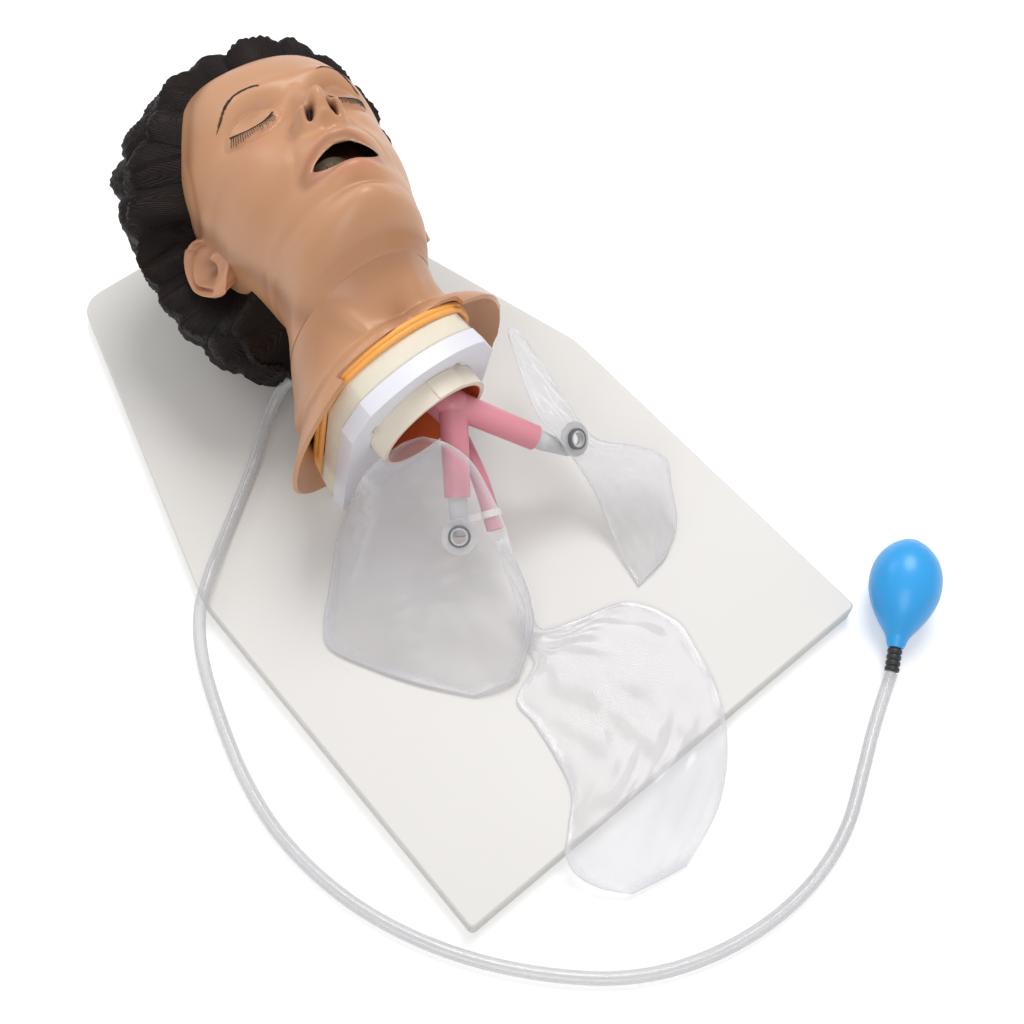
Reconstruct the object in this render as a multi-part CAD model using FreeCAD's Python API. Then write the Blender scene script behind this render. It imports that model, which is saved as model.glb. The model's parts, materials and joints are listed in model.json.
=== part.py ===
"""Airway management trainer: a head and neck on a board, with soft airways and bags.

Millimetres. +X is the figure's left, +Y runs towards the crown of the head and +Z is up.
The origin is the centre of the board's underside.
"""

import FreeCAD
import Part

import math
import os

V = FreeCAD.Vector

# Base board
BOARD_LENGTH = 580.0
BOARD_WIDTH = 356.0
BOARD_HEAD_WIDTH = 206.0
BOARD_STRAIGHT = 302.0
BOARD_THICK = 16.0
BOARD_HEAD_RADIUS = 22.0
BOARD_KINK_RADIUS = 60.0
BOARD_FOOT_RADIUS = 4.0
BOARD_EDGE_BREAK = 1.2

# Neck plate, collar, gasket and sleeve
NECK_X = 3.0
PLATE_FROM_FOOT = 296.0
PLATE_LEAN = 12.0
PLATE_WIDTH = 120.0
PLATE_SHOULDER = 125.0
PLATE_CHAMFER_HIGH = 27.0
PLATE_CHAMFER_WIDE = 13.0
PLATE_TOP = 168.0
PLATE_THICK = 12.0
SEAT_GAP = 0.3
COLLAR_THICK = 17.0
COLLAR_INSET = 1.5
GASKET_THICK = 4.0
GASKET_WALL = 7.0
SLEEVE_HEIGHT = 105.0
SLEEVE_RADIUS = 43.0
SLEEVE_WALL = 4.0
SLEEVE_FRONT = 15.0
SLEEVE_BACK = 40.0
SLEEVE_LAP = 1.3
SLEEVE_LAP_FROM = 62.0
SLEEVE_LAP_TO = 92.0
SLEEVE_SLOT_ANGLES = (54.0, 157.0)
SLEEVE_SLOT_WIDE = 9.0
SLEEVE_SLOT_DEEP = 4.0
SLEEVE_TAB_THICK = 2.0

# Screws that hold the plate from below
SCREW_RADIUS = 2.0
SCREW_HEAD_RADIUS = 4.2
SCREW_HEAD_HIGH = 3.0
SCREW_LENGTH = 34.0
SCREW_SPACING = 42.0
SCREW_COUNT = 3
SCREW_CLEARANCE = 0.05
SCREW_HEAD_SINK = 4.0

# Head pose
HEAD_CENTRE = V(30.0, 142.0, 140.0)
HEAD_TURN = 12.5
HEAD_TIP_BACK = 11.5
HEAD_ROLL = 7.8

# Skin, core and hair
SKIN_WALL = 4.0
FACE_WALL = 13.0
CORE_GAP = 0.5
CROWN_CAP = 118.0
CHIN_LEVEL = -110.0
NECK_SHIFT_SHARE = 0.5
FACE_LOW = -90.0
FACE_HIGH = 70.0
FACE_EDGE_SHARE = 0.35
HEM_DEPTH = 3.0
BELL_DEPTH = 22.0
BELL_HALF_WIDTH = 100.0
BELL_CUT_HALF = 66.0
HEM_HALF_WIDTH = 68.0
HEM_TOP = 172.0
HEM_BOTTOM = 6.0
AROUND = 44
CORE_AROUND = 18
HAIR_GAP = 0.8
HAIR_THICK = 20.0
HAIR_LOCK = 4.0
HAIR_AROUND = 30
HAIR_LAST = 15
HAIR_TOP = 14.0
HAIRLINE_DEPTH = 12.0

# Nose and ears
NOSTRIL_DEEP = 16.0
NOSTRIL_SPLAY = 20.0
NOSTRIL_PITCH = 50.0
NOSTRIL_SIDE = 7.5
NOSTRIL_LEVEL = -36.0
NOSTRIL_START = 98.0
EAR_LENGTH = 62.0
EAR_WIDTH = 34.0
EAR_LEVEL = -4.0
EAR_BACK = -8.0
EAR_ROOT = 66.0
EAR_STAND = 9.0
EAR_FLARE = 12.0
EAR_AROUND = 16
EAR_ROOM = 8.0

# Mouth, teeth and jaw
MOUTH_HALF_WIDTH = 26.0
MOUTH_CENTRE = -63.0
MOUTH_OPEN_UP = 8.0
MOUTH_OPEN_DOWN = 11.0
NOSTRIL_LONG = 5.2
NOSTRIL_SHORT = 3.2
NOSTRIL_AROUND = 12
TOOTH_ARCH_HALF = 25.0
TOOTH_ARCH_DEEP = 44.0
TOOTH_ARCH_FRONT = 84.0
TOOTH_COUNT = 14
TOOTH_HIGH = 8.5
TOOTH_THICK = 5.0
GUM_HIGH = 6.0
PALATE_LEVEL = -42.0
LOWER_TEETH_LEVEL = -74.0
LOWER_ARCH_FRONT = 78.0
GUM_WALL = 7.0
GUM_BITE = 0.5
GUM_PLATE_INSET = 3.0
GUM_PLATE_THICK = 2.5
TONGUE_AROUND = 12
TOOTH_FILL = 0.92
PALATE_THICK = 3.0
PALATE_BACK = 25.7
JAW_HINGE = (2.0, 6.0)
JAW_WIDE = 36.0
JAW_THICK = 8.0
JAW_HIGH = 12.0
JAW_FLOOR = 3.0
JAW_FRONT = 74.0
JAW_SIDE_GAP = 0.5
JAW_SWING_ROOM = 6.0
ARM_HALF = 9.0
JAW_PIN_REACH = 9.0
JAW_PIN_RADIUS = 3.0
JAW_PIN_CLEARANCE = 0.06

# Airways
TRACHEA_RADIUS = 11.0
BRONCHUS_RADIUS = 9.0
AIRWAY_WALL = 2.0
ESOPHAGUS_RADIUS = 6.0
ESOPHAGUS_WALL = 1.5
PHARYNX_RADIUS = 16.0
LARYNX_RADIUS = 15.0
EPIGLOTTIS_INSET = 5.5
EPIGLOTTIS_THICK = 1.8
FITTING_RADIUS = 6.8
FITTING_TIP_RADIUS = 4.6
PORT_FLANGE_RADIUS = 12.5
PORT_FLANGE_THICK = 2.0
PORT_RING_RADIUS = 6.0
PORT_RING_WALL = 1.6
PORT_RIM = 3.2
PORT_STEM = 3.0
PORT_WALL = 1.2
FITTING_GRIP = 9.0
FITTING_KNEE = 6.0
FITTING_BORE = 3.4
CLIP_FROM_END = 14.0
CLIP_WIDE = 5.0
CLIP_THICK = 1.6
CLIP_TAIL = 12.0
CLIP_GAP = 0.1

# Bags
FILM_THICK = 2.5
FILM_REACH = 12.0
BAG_GAP = 0.5

# Pulse tube and bulb
TUBE_DIAMETER = 9.0
BULB_DIAMETER = 51.0
BULB_LENGTH = 80.0
CONNECTOR_RADIUS = 5.2
CONNECTOR_LENGTH = 17.0
GROMMET_RADIUS = 8.0
GROMMET_LENGTH = 9.0
GROMMET_WALL = 1.5
BLADDER_REACH = 14.0
CONNECTOR_GAP = 1.2

HALF_LENGTH = BOARD_LENGTH / 2


def row(x, from_foot, z):
    """A point by its distance from the board's foot edge."""
    return V(x, from_foot - HALF_LENGTH, z)


def unit(vector):
    result = V(vector)
    result.normalize()
    return result


def head_axes():
    """The head's left, crown and forward directions."""
    turn, tip, roll = (math.radians(a) for a in (HEAD_TURN, HEAD_TIP_BACK, HEAD_ROLL))
    crown = V(math.sin(turn) * math.cos(tip), math.cos(turn) * math.cos(tip), -math.sin(tip))
    level_left = V(math.cos(turn), -math.sin(turn), 0)
    upright = level_left.cross(crown)
    forward = upright * math.cos(roll) + level_left * math.sin(roll)
    return crown.cross(forward), crown, forward


HEAD_LEFT, HEAD_CROWN, HEAD_FORWARD = head_axes()


def head_point(left, up, forward):
    """A point given in the head's own axes."""
    return HEAD_CENTRE + HEAD_LEFT * left + HEAD_CROWN * up + HEAD_FORWARD * forward


def head_placed(shape):
    """Place a shape drawn with X left, Y to the crown and Z forward."""
    matrix = FreeCAD.Matrix(
        HEAD_LEFT.x, HEAD_CROWN.x, HEAD_FORWARD.x, HEAD_CENTRE.x,
        HEAD_LEFT.y, HEAD_CROWN.y, HEAD_FORWARD.y, HEAD_CENTRE.y,
        HEAD_LEFT.z, HEAD_CROWN.z, HEAD_FORWARD.z, HEAD_CENTRE.z,
        0, 0, 0, 1)
    placed = shape.copy()
    placed.Placement = FreeCAD.Placement(matrix).multiply(shape.Placement)
    return placed


LEAN = math.radians(PLATE_LEAN)
PLATE_UP = V(0, -math.sin(LEAN), math.cos(LEAN))
PLATE_OUT = V(0, -math.cos(LEAN), -math.sin(LEAN))
PLATE_FOOT = row(NECK_X, PLATE_FROM_FOOT, BOARD_THICK)


def plate_point(x, high, out):
    """A point in the leaning plate's axes, out being towards the board's foot."""
    return PLATE_FOOT + V(x, 0, 0) + PLATE_UP * high + PLATE_OUT * out


def polygon_face(points):
    return Part.Face(Part.makePolygon(list(points) + [points[0]]))


def solid_of(faces):
    """Sew faces that meet edge to edge into one outward solid."""
    shell = Part.makeShell(faces)
    shell.sewShape()
    shell = shell.Shells[0] if shell.Shells else shell
    solid = Part.makeSolid(shell)
    if solid.Volume < 0:
        solid.reverse()
    return solid


def ring_solid(rings):
    """A closed solid with flat triangles between rings of equally many points."""
    count = len(rings[0])
    faces = []
    for low, high in zip(rings, rings[1:]):
        for k in range(count):
            n = (k + 1) % count
            faces.append(polygon_face([low[k], low[n], high[n]]))
            faces.append(polygon_face([low[k], high[n], high[k]]))
    for ring in (rings[0], rings[-1]):
        middle = V(0, 0, 0)
        for point in ring:
            middle = middle + point * (1.0 / count)
        for k in range(count):
            faces.append(polygon_face([ring[k], ring[(k + 1) % count], middle]))
    return solid_of(faces)


def path_wire(points, share=0.45):
    """Straight runs joined by tangent arcs, each as large as its runs allow."""
    edges = []
    start = points[0]
    radii = []
    for before, corner, after in zip(points, points[1:], points[2:]):
        back, on = before - corner, after - corner
        reach = share * min(back.Length, on.Length)
        back, on = unit(back), unit(on)
        turn = math.pi - back.getAngle(on)
        radii.append(reach / math.tan(turn / 2))
        first = corner + back * reach
        last = corner + on * reach
        bisector = unit(back + on)
        to_centre = radii[-1] / math.cos(turn / 2)
        middle = corner + bisector * (to_centre - radii[-1])
        edges.append(Part.LineSegment(start, first).toShape())
        edges.append(Part.Arc(first, middle, last).toShape())
        start = last
    edges.append(Part.LineSegment(start, points[-1]).toShape())
    return Part.Wire(edges), radii


def swept_tube(points, radius, share=0.45):
    """A round bar along a route of runs and arcs."""
    wire, radii = path_wire(points, share)
    ring = Part.Wire([Part.makeCircle(radius, points[0], unit(points[1] - points[0]))])
    return wire.makePipeShell([ring], True, False), wire, radii


def hollow_tube(points, radius, wall, share=0.45):
    outer = swept_tube(points, radius, share)[0]
    inner = swept_tube(points, radius - wall, share)[0]
    return outer.cut(inner)


def rod(start, end, radius):
    along = end - start
    return Part.makeCylinder(radius, along.Length, start, along)


def taper(start, end, radius, end_radius):
    along = end - start
    return Part.makeCone(radius, end_radius, along.Length, start, along)


# Board and plate

def screw_places():
    first = -SCREW_SPACING * (SCREW_COUNT - 1) / 2
    return [first + SCREW_SPACING * k for k in range(SCREW_COUNT)]


def screw_axis(x):
    """Where a screw's head starts under the board, and its direction."""
    middle = -PLATE_THICK / 2
    rise = (BOARD_THICK - SCREW_HEAD_SINK) / math.cos(LEAN)
    return plate_point(x, -rise, middle), PLATE_UP


def base_board():
    half, head_half = BOARD_WIDTH / 2, BOARD_HEAD_WIDTH / 2
    outline = [
        row(-half, 0, 0), row(half, 0, 0),
        row(half, BOARD_STRAIGHT, 0), row(head_half, BOARD_LENGTH, 0),
        row(-head_half, BOARD_LENGTH, 0), row(-half, BOARD_STRAIGHT, 0),
    ]
    board = polygon_face(outline).extrude(V(0, 0, BOARD_THICK))
    rounds = [BOARD_FOOT_RADIUS, BOARD_FOOT_RADIUS, BOARD_KINK_RADIUS,
              BOARD_HEAD_RADIUS, BOARD_HEAD_RADIUS, BOARD_KINK_RADIUS]
    for corner, radius in zip(outline, rounds):
        upright = [e for e in board.Edges if len(e.Vertexes) == 2
                   and all(math.hypot(v.X - corner.x, v.Y - corner.y) < 0.01 for v in e.Vertexes)]
        board = board.makeFillet(radius, upright)
    rim = [e for e in board.Edges if all(abs(v.Z - BOARD_THICK) < 0.001 for v in e.Vertexes)]
    board = board.makeChamfer(BOARD_EDGE_BREAK, rim)
    for x in screw_places():
        start, along = screw_axis(x)
        shank = SCREW_RADIUS + SCREW_CLEARANCE
        board = board.cut(Part.makeCylinder(shank, SCREW_LENGTH, start, along))
        pocket = SCREW_HEAD_RADIUS + 2 * SCREW_CLEARANCE
        below = start - along * (2 * SCREW_HEAD_SINK)
        board = board.cut(Part.makeCylinder(pocket, 2 * SCREW_HEAD_SINK, below, along))
    return board


def plate_outline(inset, out):
    """The arched outline of the plate, its collar and its gasket."""
    half = PLATE_WIDTH / 2 - inset
    chamfer_half = half - PLATE_CHAMFER_WIDE
    shoulder = PLATE_SHOULDER - inset / 2
    chamfer_top = shoulder + PLATE_CHAMFER_HIGH
    top = PLATE_TOP - inset
    below = -2 * PLATE_THICK
    points = [plate_point(x, high, out) for x, high in (
        (-half, below), (-half, shoulder), (-chamfer_half, chamfer_top), (0, top),
        (chamfer_half, chamfer_top), (half, shoulder), (half, below))]
    edges = [
        Part.makeLine(points[0], points[1]), Part.makeLine(points[1], points[2]),
        Part.Arc(points[2], points[3], points[4]).toShape(),
        Part.makeLine(points[4], points[5]), Part.makeLine(points[5], points[6]),
        Part.makeLine(points[6], points[0]),
    ]
    return Part.Face(Part.Wire(edges))


def above_board(shape, clearance=0.0):
    size = 2 * BOARD_LENGTH
    below = Part.makeBox(size, size, size, V(-size / 2, -size / 2, BOARD_THICK + clearance - size))
    return shape.cut(below)


def sleeve_bar(radius, front, back):
    start = plate_point(0, SLEEVE_HEIGHT, front)
    return Part.makeCylinder(radius, front - back, start, PLATE_OUT * -1)


def slot_block(angle, reach, wide, front, back, clearance):
    """A radial block through the sleeve seat, at an angle about its axis."""
    base = Part.makeBox(reach, wide - 2 * clearance, front - back)
    base.translate(V(0, -wide / 2 + clearance, 0))
    base.rotate(V(0, 0, 0), V(0, 0, 1), angle)
    side = V(1, 0, 0)
    place = plate_point(0, SLEEVE_HEIGHT, back)
    matrix = FreeCAD.Matrix(
        side.x, PLATE_UP.x, PLATE_OUT.x, place.x,
        side.y, PLATE_UP.y, PLATE_OUT.y, place.y,
        side.z, PLATE_UP.z, PLATE_OUT.z, place.z,
        0, 0, 0, 1)
    return base.transformGeometry(matrix)


def neck_plate():
    plate = above_board(plate_outline(0, 0).extrude(PLATE_OUT * -PLATE_THICK))
    plate = plate.cut(sleeve_bar(SLEEVE_RADIUS + SEAT_GAP, 1, -PLATE_THICK - 1))
    for angle in SLEEVE_SLOT_ANGLES:
        reach = SLEEVE_RADIUS + SLEEVE_SLOT_DEEP
        plate = plate.cut(slot_block(angle, reach, SLEEVE_SLOT_WIDE, 1, -PLATE_THICK - 1, 0))
    for x in screw_places():
        start, along = screw_axis(x)
        plate = plate.cut(Part.makeCylinder(SCREW_RADIUS + SCREW_CLEARANCE, SCREW_LENGTH, start, along))
    return plate


def plate_screws():
    screws = []
    for x in screw_places():
        start, along = screw_axis(x)
        head_start = start - along * SCREW_HEAD_HIGH
        head = Part.makeCylinder(SCREW_HEAD_RADIUS, SCREW_HEAD_HIGH, head_start, along)
        drive = Part.makeCylinder(SCREW_RADIUS / 2, SCREW_HEAD_HIGH / 2, head_start, along)
        shank = Part.makeCylinder(SCREW_RADIUS, SCREW_LENGTH - 1, start, along)
        screws.append(head.fuse(shank).cut(drive))
    return Part.makeCompound(screws)


COLLAR_BACK = -PLATE_THICK - SEAT_GAP - COLLAR_THICK
GASKET_BACK = COLLAR_BACK - GASKET_THICK


def neck_collar():
    front = -PLATE_THICK - SEAT_GAP
    collar = plate_outline(COLLAR_INSET, front).extrude(PLATE_OUT * -COLLAR_THICK)
    collar = above_board(collar, SEAT_GAP)
    return collar.cut(sleeve_bar(SLEEVE_RADIUS + SEAT_GAP, 0, COLLAR_BACK - 1))


def neck_gasket():
    bar = plate_outline(-COLLAR_INSET, COLLAR_BACK).extrude(PLATE_OUT * -GASKET_THICK)
    inner = plate_outline(GASKET_WALL, COLLAR_BACK + 1).extrude(PLATE_OUT * -(GASKET_THICK + 2))
    return above_board(bar.cut(inner), SEAT_GAP)


def airway_sleeve():
    outer = sleeve_bar(SLEEVE_RADIUS, SLEEVE_FRONT, -SLEEVE_BACK)
    lap_face = sleeve_bar(SLEEVE_RADIUS + SLEEVE_LAP, SLEEVE_FRONT, SEAT_GAP)
    lap_middle = (SLEEVE_LAP_FROM + SLEEVE_LAP_TO) / 2
    lap_wide = 2 * SLEEVE_RADIUS * math.sin(math.radians(SLEEVE_LAP_TO - SLEEVE_LAP_FROM) / 2)
    lap_window = slot_block(lap_middle, 2 * SLEEVE_RADIUS, lap_wide, SLEEVE_FRONT, SEAT_GAP, 0)
    sleeve = outer.fuse(lap_face.common(lap_window))
    for angle in SLEEVE_SLOT_ANGLES:
        reach = SLEEVE_RADIUS + SLEEVE_SLOT_DEEP - SEAT_GAP
        back = -SEAT_GAP - SLEEVE_TAB_THICK * 2
        tab = slot_block(angle, reach, SLEEVE_SLOT_WIDE, back + SLEEVE_TAB_THICK, back, SEAT_GAP)
        sleeve = sleeve.fuse(tab)
    inner = sleeve_bar(SLEEVE_RADIUS - SLEEVE_WALL, SLEEVE_FRONT + 1, -SLEEVE_BACK - 1)
    return sleeve.cut(inner).removeSplitter()


# Head sections: front height and depth, back height and depth, half width, roundness
HEAD_SECTIONS = [
    (CROWN_CAP, 34, CROWN_CAP, -44, 36, 2.0),
    (108, 60, 108, -62, 53, 2.0),
    (92, 80, 92, -77, 64, 2.1),
    (74, 92, 74, -87, 71, 2.2),
    (56, 97, 56, -93, 74, 2.2),
    (40, 99, 40, -95, 75, 2.2),
    (28, 98, 28, -95, 75, 2.2),
    (16, 92, 18, -93, 74, 2.2),
    (6, 89, 8, -91, 73, 2.2),
    (-4, 89, -1, -88, 71, 2.2),
    (-13, 90, -8, -85, 70, 2.2),
    (-22, 92, -14, -82, 69, 2.15),
    (-30, 94, -19, -79, 68, 2.1),
    (-38, 97, -24, -77, 66, 2.05),
    (-46, 99, -29, -75, 64, 2.0),
    (-54, 98, -33, -73, 62, 1.95),
    (-62, 96, -37, -71, 60, 1.9),
    (-70, 95, -41, -70, 58, 1.9),
    (-78, 93, -44, -69, 57, 1.9),
    (-86, 91, -47, -69, 55, 1.9),
    (-96, 92, -50, -70, 54, 1.9),
    (-106, 88, -53, -72, 53, 1.95),
    (-112, 74, -57, -77, 53, 2.0),
    (-111, 59, -61, -84, 54, 2.0),
    (-112, 46, -66, -94, 56, 2.0),
    (-123, 31, -72, -108, 59, 2.1),
    (-135, 20, -77, -121, 63, 2.2),
]
WIDEST = 0.52
NECK_SECTION = 24
NECK_ALL = 20


def bump(value, centre, spread):
    return math.exp(-((value - centre) / spread) ** 2)


def face_relief(x, y):
    """How far the features stand forward of the plain head at a place on the face."""
    side = abs(x)
    tip, root, base = -19.0, 22.0, -31.0
    if y >= tip:
        rise = max(0.0, 1 - (y - tip) / (root - tip)) ** 1.25
    else:
        rise = max(0.0, 1 - ((tip - y) / (tip - base)) ** 2)
    ridge = 25.0 * rise * bump(x, 0, 8.0 + 5.0 * rise)
    wings = 8.0 * bump(side, 14, 6) * bump(y, -25, 8)
    sockets = -7.5 * bump(side, 31, 14) * bump(y, 14, 10)
    brows = 2.5 * bump(side, 30, 22) * bump(y, 30, 8)
    cheeks = 4.0 * bump(side, 42, 16) * bump(y, -18, 18)
    lips = 5.0 * bump(x, 0, 20) * (bump(y, -50, 6) + bump(y, -77, 7))
    chin = 4.0 * bump(x, 0, 18) * bump(y, -101, 11)
    return ridge + wings + sockets + brows + cheeks + lips + chin


def section_ring(front, back, left, half_width, roundness, count, crowd, relief=False):
    """Points round one closed section, from the back, crowded towards the front."""
    middle = back + (front - back) * WIDEST
    ahead, behind = front - middle, back - middle
    ring = []
    for k in range(count):
        turn = 2 * math.pi * k / count
        angle = math.pi + turn + crowd * math.sin(turn)
        c, s = math.cos(angle), math.sin(angle)
        along = abs(c) ** (2 / roundness)
        across = math.copysign(abs(s) ** (2 / roundness), s) * half_width
        reach = (ahead if c > 0 else behind) * along
        point = middle + reach + left * across
        if relief and c > 0:
            local = point - HEAD_CENTRE
            lift = face_relief(local.dot(HEAD_LEFT), local.dot(HEAD_CROWN))
            point = point + HEAD_FORWARD * (lift * min(1.0, c * 2.5))
        ring.append(point)
    return ring


def hem_section(out, half_width, top_margin, bottom_margin):
    front = plate_point(0, HEM_TOP - top_margin, out)
    back = plate_point(0, HEM_BOTTOM + bottom_margin, out)
    return front, back, V(1, 0, 0), half_width


def inward(points, index, face):
    """The inward normal of the face's or the nape's outline at one section."""
    before, after = points[max(0, index - 1)], points[min(len(points) - 1, index + 1)]
    up, ahead = after[0] - before[0], after[1] - before[1]
    size = math.hypot(up, ahead)
    return (-ahead / size, up / size) if face else (ahead / size, -up / size)


def section_lines(shrink, face_shrink):
    """Front, back, left axis, half width and roundness of every section, crown first."""
    lines = []
    neck_left = V(1, 0, 0)
    neck_shift = (plate_point(0, 0, 0).x - head_point(0, CHIN_LEVEL, 0).x) * NECK_SHIFT_SHARE
    face_line = [section[:2] for section in HEAD_SECTIONS]
    nape_line = [section[2:4] for section in HEAD_SECTIONS]
    for index, (fy, fz, by, bz, half, roundness) in enumerate(HEAD_SECTIONS):
        blend = min(1.0, max(0.0, (index - NECK_SECTION + 5) / 8.0))
        shift = V(neck_shift * blend, 0, 0)
        left = unit(HEAD_LEFT * (1 - blend) + neck_left * blend)
        thick = face_shrink if FACE_LOW < fy < FACE_HIGH else shrink + (face_shrink - shrink) * FACE_EDGE_SHARE
        up, ahead = inward(face_line, index, True)
        nape_up, nape_ahead = inward(nape_line, index, False)
        front = head_point(0, fy + up * thick, fz + ahead * thick) + shift
        back = head_point(0, by + nape_up * shrink, bz + nape_ahead * shrink) + shift
        lines.append((front, back, left, half - shrink, roundness))
    return lines


def skin_outer():
    rings = []
    for front, back, left, half, roundness in section_lines(0, 0):
        rings.append(section_ring(front, back, left, half, roundness, AROUND, 0.3, True))
    hem_out = GASKET_BACK - HEM_DEPTH
    for out, half in ((hem_out, HEM_HALF_WIDTH), (GASKET_BACK + BELL_DEPTH, BELL_HALF_WIDTH)):
        front, back, left, half = hem_section(out, half, 0, 0)
        rings.append(section_ring(front, back, left, half, 2.3, AROUND, 0.3))
    return ring_solid(rings)


def skin_inner():
    rings = []
    for front, back, left, half, roundness in section_lines(SKIN_WALL, FACE_WALL)[1:]:
        rings.append(section_ring(front, back, left, half, roundness, CORE_AROUND, 0))
    hem_out = GASKET_BACK - HEM_DEPTH
    places = ((hem_out, HEM_HALF_WIDTH), (GASKET_BACK + BELL_DEPTH, BELL_HALF_WIDTH),
              (GASKET_BACK + BELL_DEPTH + 8, BELL_HALF_WIDTH + 10))
    for out, half in places:
        front, back, left, half = hem_section(out, half - SKIN_WALL, SKIN_WALL, SKIN_WALL)
        rings.append(section_ring(front, back, left, half, 2.3, CORE_AROUND, 0))
    spaced = rings[:NECK_ALL:2] + rings[NECK_ALL:]
    return ring_solid(spaced)



def mouth_cutter(margin, near, far):
    """The open lips: an upper and a lower bow between the corners."""
    left = V(-MOUTH_HALF_WIDTH - margin, MOUTH_CENTRE, near)
    right = V(MOUTH_HALF_WIDTH + margin, MOUTH_CENTRE, near)
    top = V(0, MOUTH_CENTRE + MOUTH_OPEN_UP + margin, near)
    bottom = V(0, MOUTH_CENTRE - MOUTH_OPEN_DOWN - margin, near)
    edges = [Part.Arc(left, top, right).toShape(), Part.Arc(right, bottom, left).toShape()]
    return head_placed(Part.Face(Part.Wire(edges)).extrude(V(0, 0, far - near)))


def nostril_cutter(side):
    """A slanted oval pit under the tip of the nose."""
    rings = []
    for high in (0.0, NOSTRIL_DEEP):
        turns = [2 * math.pi * k / NOSTRIL_AROUND for k in range(NOSTRIL_AROUND)]
        rings.append([V(NOSTRIL_SHORT * math.cos(t), NOSTRIL_LONG * math.sin(t), high) for t in turns])
    pit = ring_solid(rings)
    pit.rotate(V(0, 0, 0), V(0, 0, 1), -side * NOSTRIL_SPLAY)
    pit.rotate(V(0, 0, 0), V(1, 0, 0), NOSTRIL_PITCH)
    pit.translate(V(side * NOSTRIL_SIDE, NOSTRIL_LEVEL, NOSTRIL_START))
    return head_placed(pit)


def ear(side):
    """A leaf-shaped ear, hollowed in front, that stands out behind its root."""
    rings = []
    for share in (0.0, 0.45, 1.0):
        spread = 1.0 - 0.22 * share
        ring = []
        for k in range(EAR_AROUND):
            angle = 2 * math.pi * k / EAR_AROUND
            lobe = 0.72 if math.sin(angle) < 0 else 1.0
            across = EAR_LENGTH / 2 * math.sin(angle) * spread
            along = EAR_WIDTH / 2 * math.cos(angle) * spread * lobe
            out = EAR_ROOT + EAR_STAND * share + (EAR_FLARE * share * (1 - math.cos(angle)) / 2)
            ring.append(head_point(side * out, EAR_LEVEL + across, EAR_BACK + along))
        rings.append(ring)
    body = ring_solid(rings if side > 0 else [list(reversed(r)) for r in rings])
    bowl = small_ellipsoid(V(EAR_WIDTH * 0.18, EAR_WIDTH * 0.48, EAR_WIDTH * 0.36))
    bowl.translate(V(side * (EAR_ROOT + EAR_STAND + EAR_FLARE * 0.55), EAR_LEVEL + 3, EAR_BACK + 3))
    return body.cut(head_placed(bowl))


def bell_window():
    """What is cut away over the plate, so that only the shoulder flaps stand forward."""
    half = BELL_CUT_HALF
    start = GASKET_BACK - SEAT_GAP
    outline = [plate_point(x, high, start) for x, high in (
        (-half, -30), (-half, PLATE_SHOULDER - 6), (-half * 0.72, PLATE_TOP - 6),
        (-half * 0.72, 2 * PLATE_TOP), (half * 0.72, 2 * PLATE_TOP),
        (half * 0.72, PLATE_TOP - 6), (half, PLATE_SHOULDER - 6), (half, -30))]
    return polygon_face(outline).extrude(PLATE_OUT * (BELL_DEPTH + 60))


def head_skin():
    skin = skin_outer()
    for side in (-1, 1):
        skin = skin.fuse(ear(side))
    skin = skin.cut(skin_inner())
    skin = skin.cut(mouth_cutter(0, 60, 140))
    for side in (-1, 1):
        skin = skin.cut(nostril_cutter(side))
    skin = skin.cut(bell_window())
    skin = above_board(skin, SEAT_GAP)
    along = unit(TUBE_ROUTE[0] - TUBE_ROUTE[1])
    hole = TUBE_DIAMETER / 2 + GROMMET_WALL + SEAT_GAP
    skin = skin.cut(rod(TUBE_ROUTE[0] - along * GROMMET_LENGTH, TUBE_ROUTE[0] + along * 3 * GROMMET_LENGTH, hole))
    return max(skin.Solids, key=lambda s: s.Volume)


def small_ellipsoid(half, count=14, rows=7):
    """A low ellipsoid of flat facets, centred at the origin."""
    rings = []
    for j in range(rows):
        tilt = math.pi * (j + 0.5) / rows
        ring = []
        for k in range(count):
            turn = 2 * math.pi * k / count
            spread = math.sin(tilt)
            ring.append(V(half.x * spread * math.cos(turn), half.y * spread * math.sin(turn), half.z * math.cos(tilt)))
        rings.append(ring)
    return ring_solid(rings)


# Head core, hair and what the mouth holds

CORE_FIRST = 1
CORE_LAST = 15


def core_block(gap):
    rings = []
    for front, back, left, half, roundness in section_lines(SKIN_WALL + gap, FACE_WALL + gap)[CORE_FIRST:CORE_LAST + 1]:
        rings.append(section_ring(front, back, left, half, roundness, CORE_AROUND, 0))
    return ring_solid(rings[::2])


def jaw_slot(side):
    """The room that one arm of the jaw swings in."""
    hinge_up, hinge_forward = JAW_HINGE
    wide = JAW_THICK + 2 * JAW_SIDE_GAP
    high = ARM_HALF + JAW_SWING_ROOM - hinge_up + 90
    slot = Part.makeBox(wide, high, 2 * (ARM_HALF + JAW_SWING_ROOM))
    slot.translate(V(side * JAW_WIDE - wide / 2, -90, hinge_forward - ARM_HALF - JAW_SWING_ROOM))
    return head_placed(slot)


def jaw_pin_bar(side, radius, reach):
    hinge_up, hinge_forward = JAW_HINGE
    middle = side * JAW_WIDE
    ends = [head_point(middle + side * end, hinge_up, hinge_forward) for end in (-reach, reach)]
    return rod(ends[0], ends[1], radius)


def head_core():
    core = core_block(CORE_GAP)
    below = Part.makeBox(2 * CROWN_CAP, CROWN_CAP, 2 * CROWN_CAP)
    below.translate(V(-CROWN_CAP, PALATE_LEVEL + SEAT_GAP - CROWN_CAP, -CROWN_CAP))
    core = core.cut(head_placed(below))
    for side in (-1, 1):
        core = core.cut(jaw_slot(side))
        core = core.cut(jaw_pin_bar(side, JAW_PIN_RADIUS + JAW_PIN_CLEARANCE, JAW_PIN_REACH + 0.5))
    return core


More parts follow.
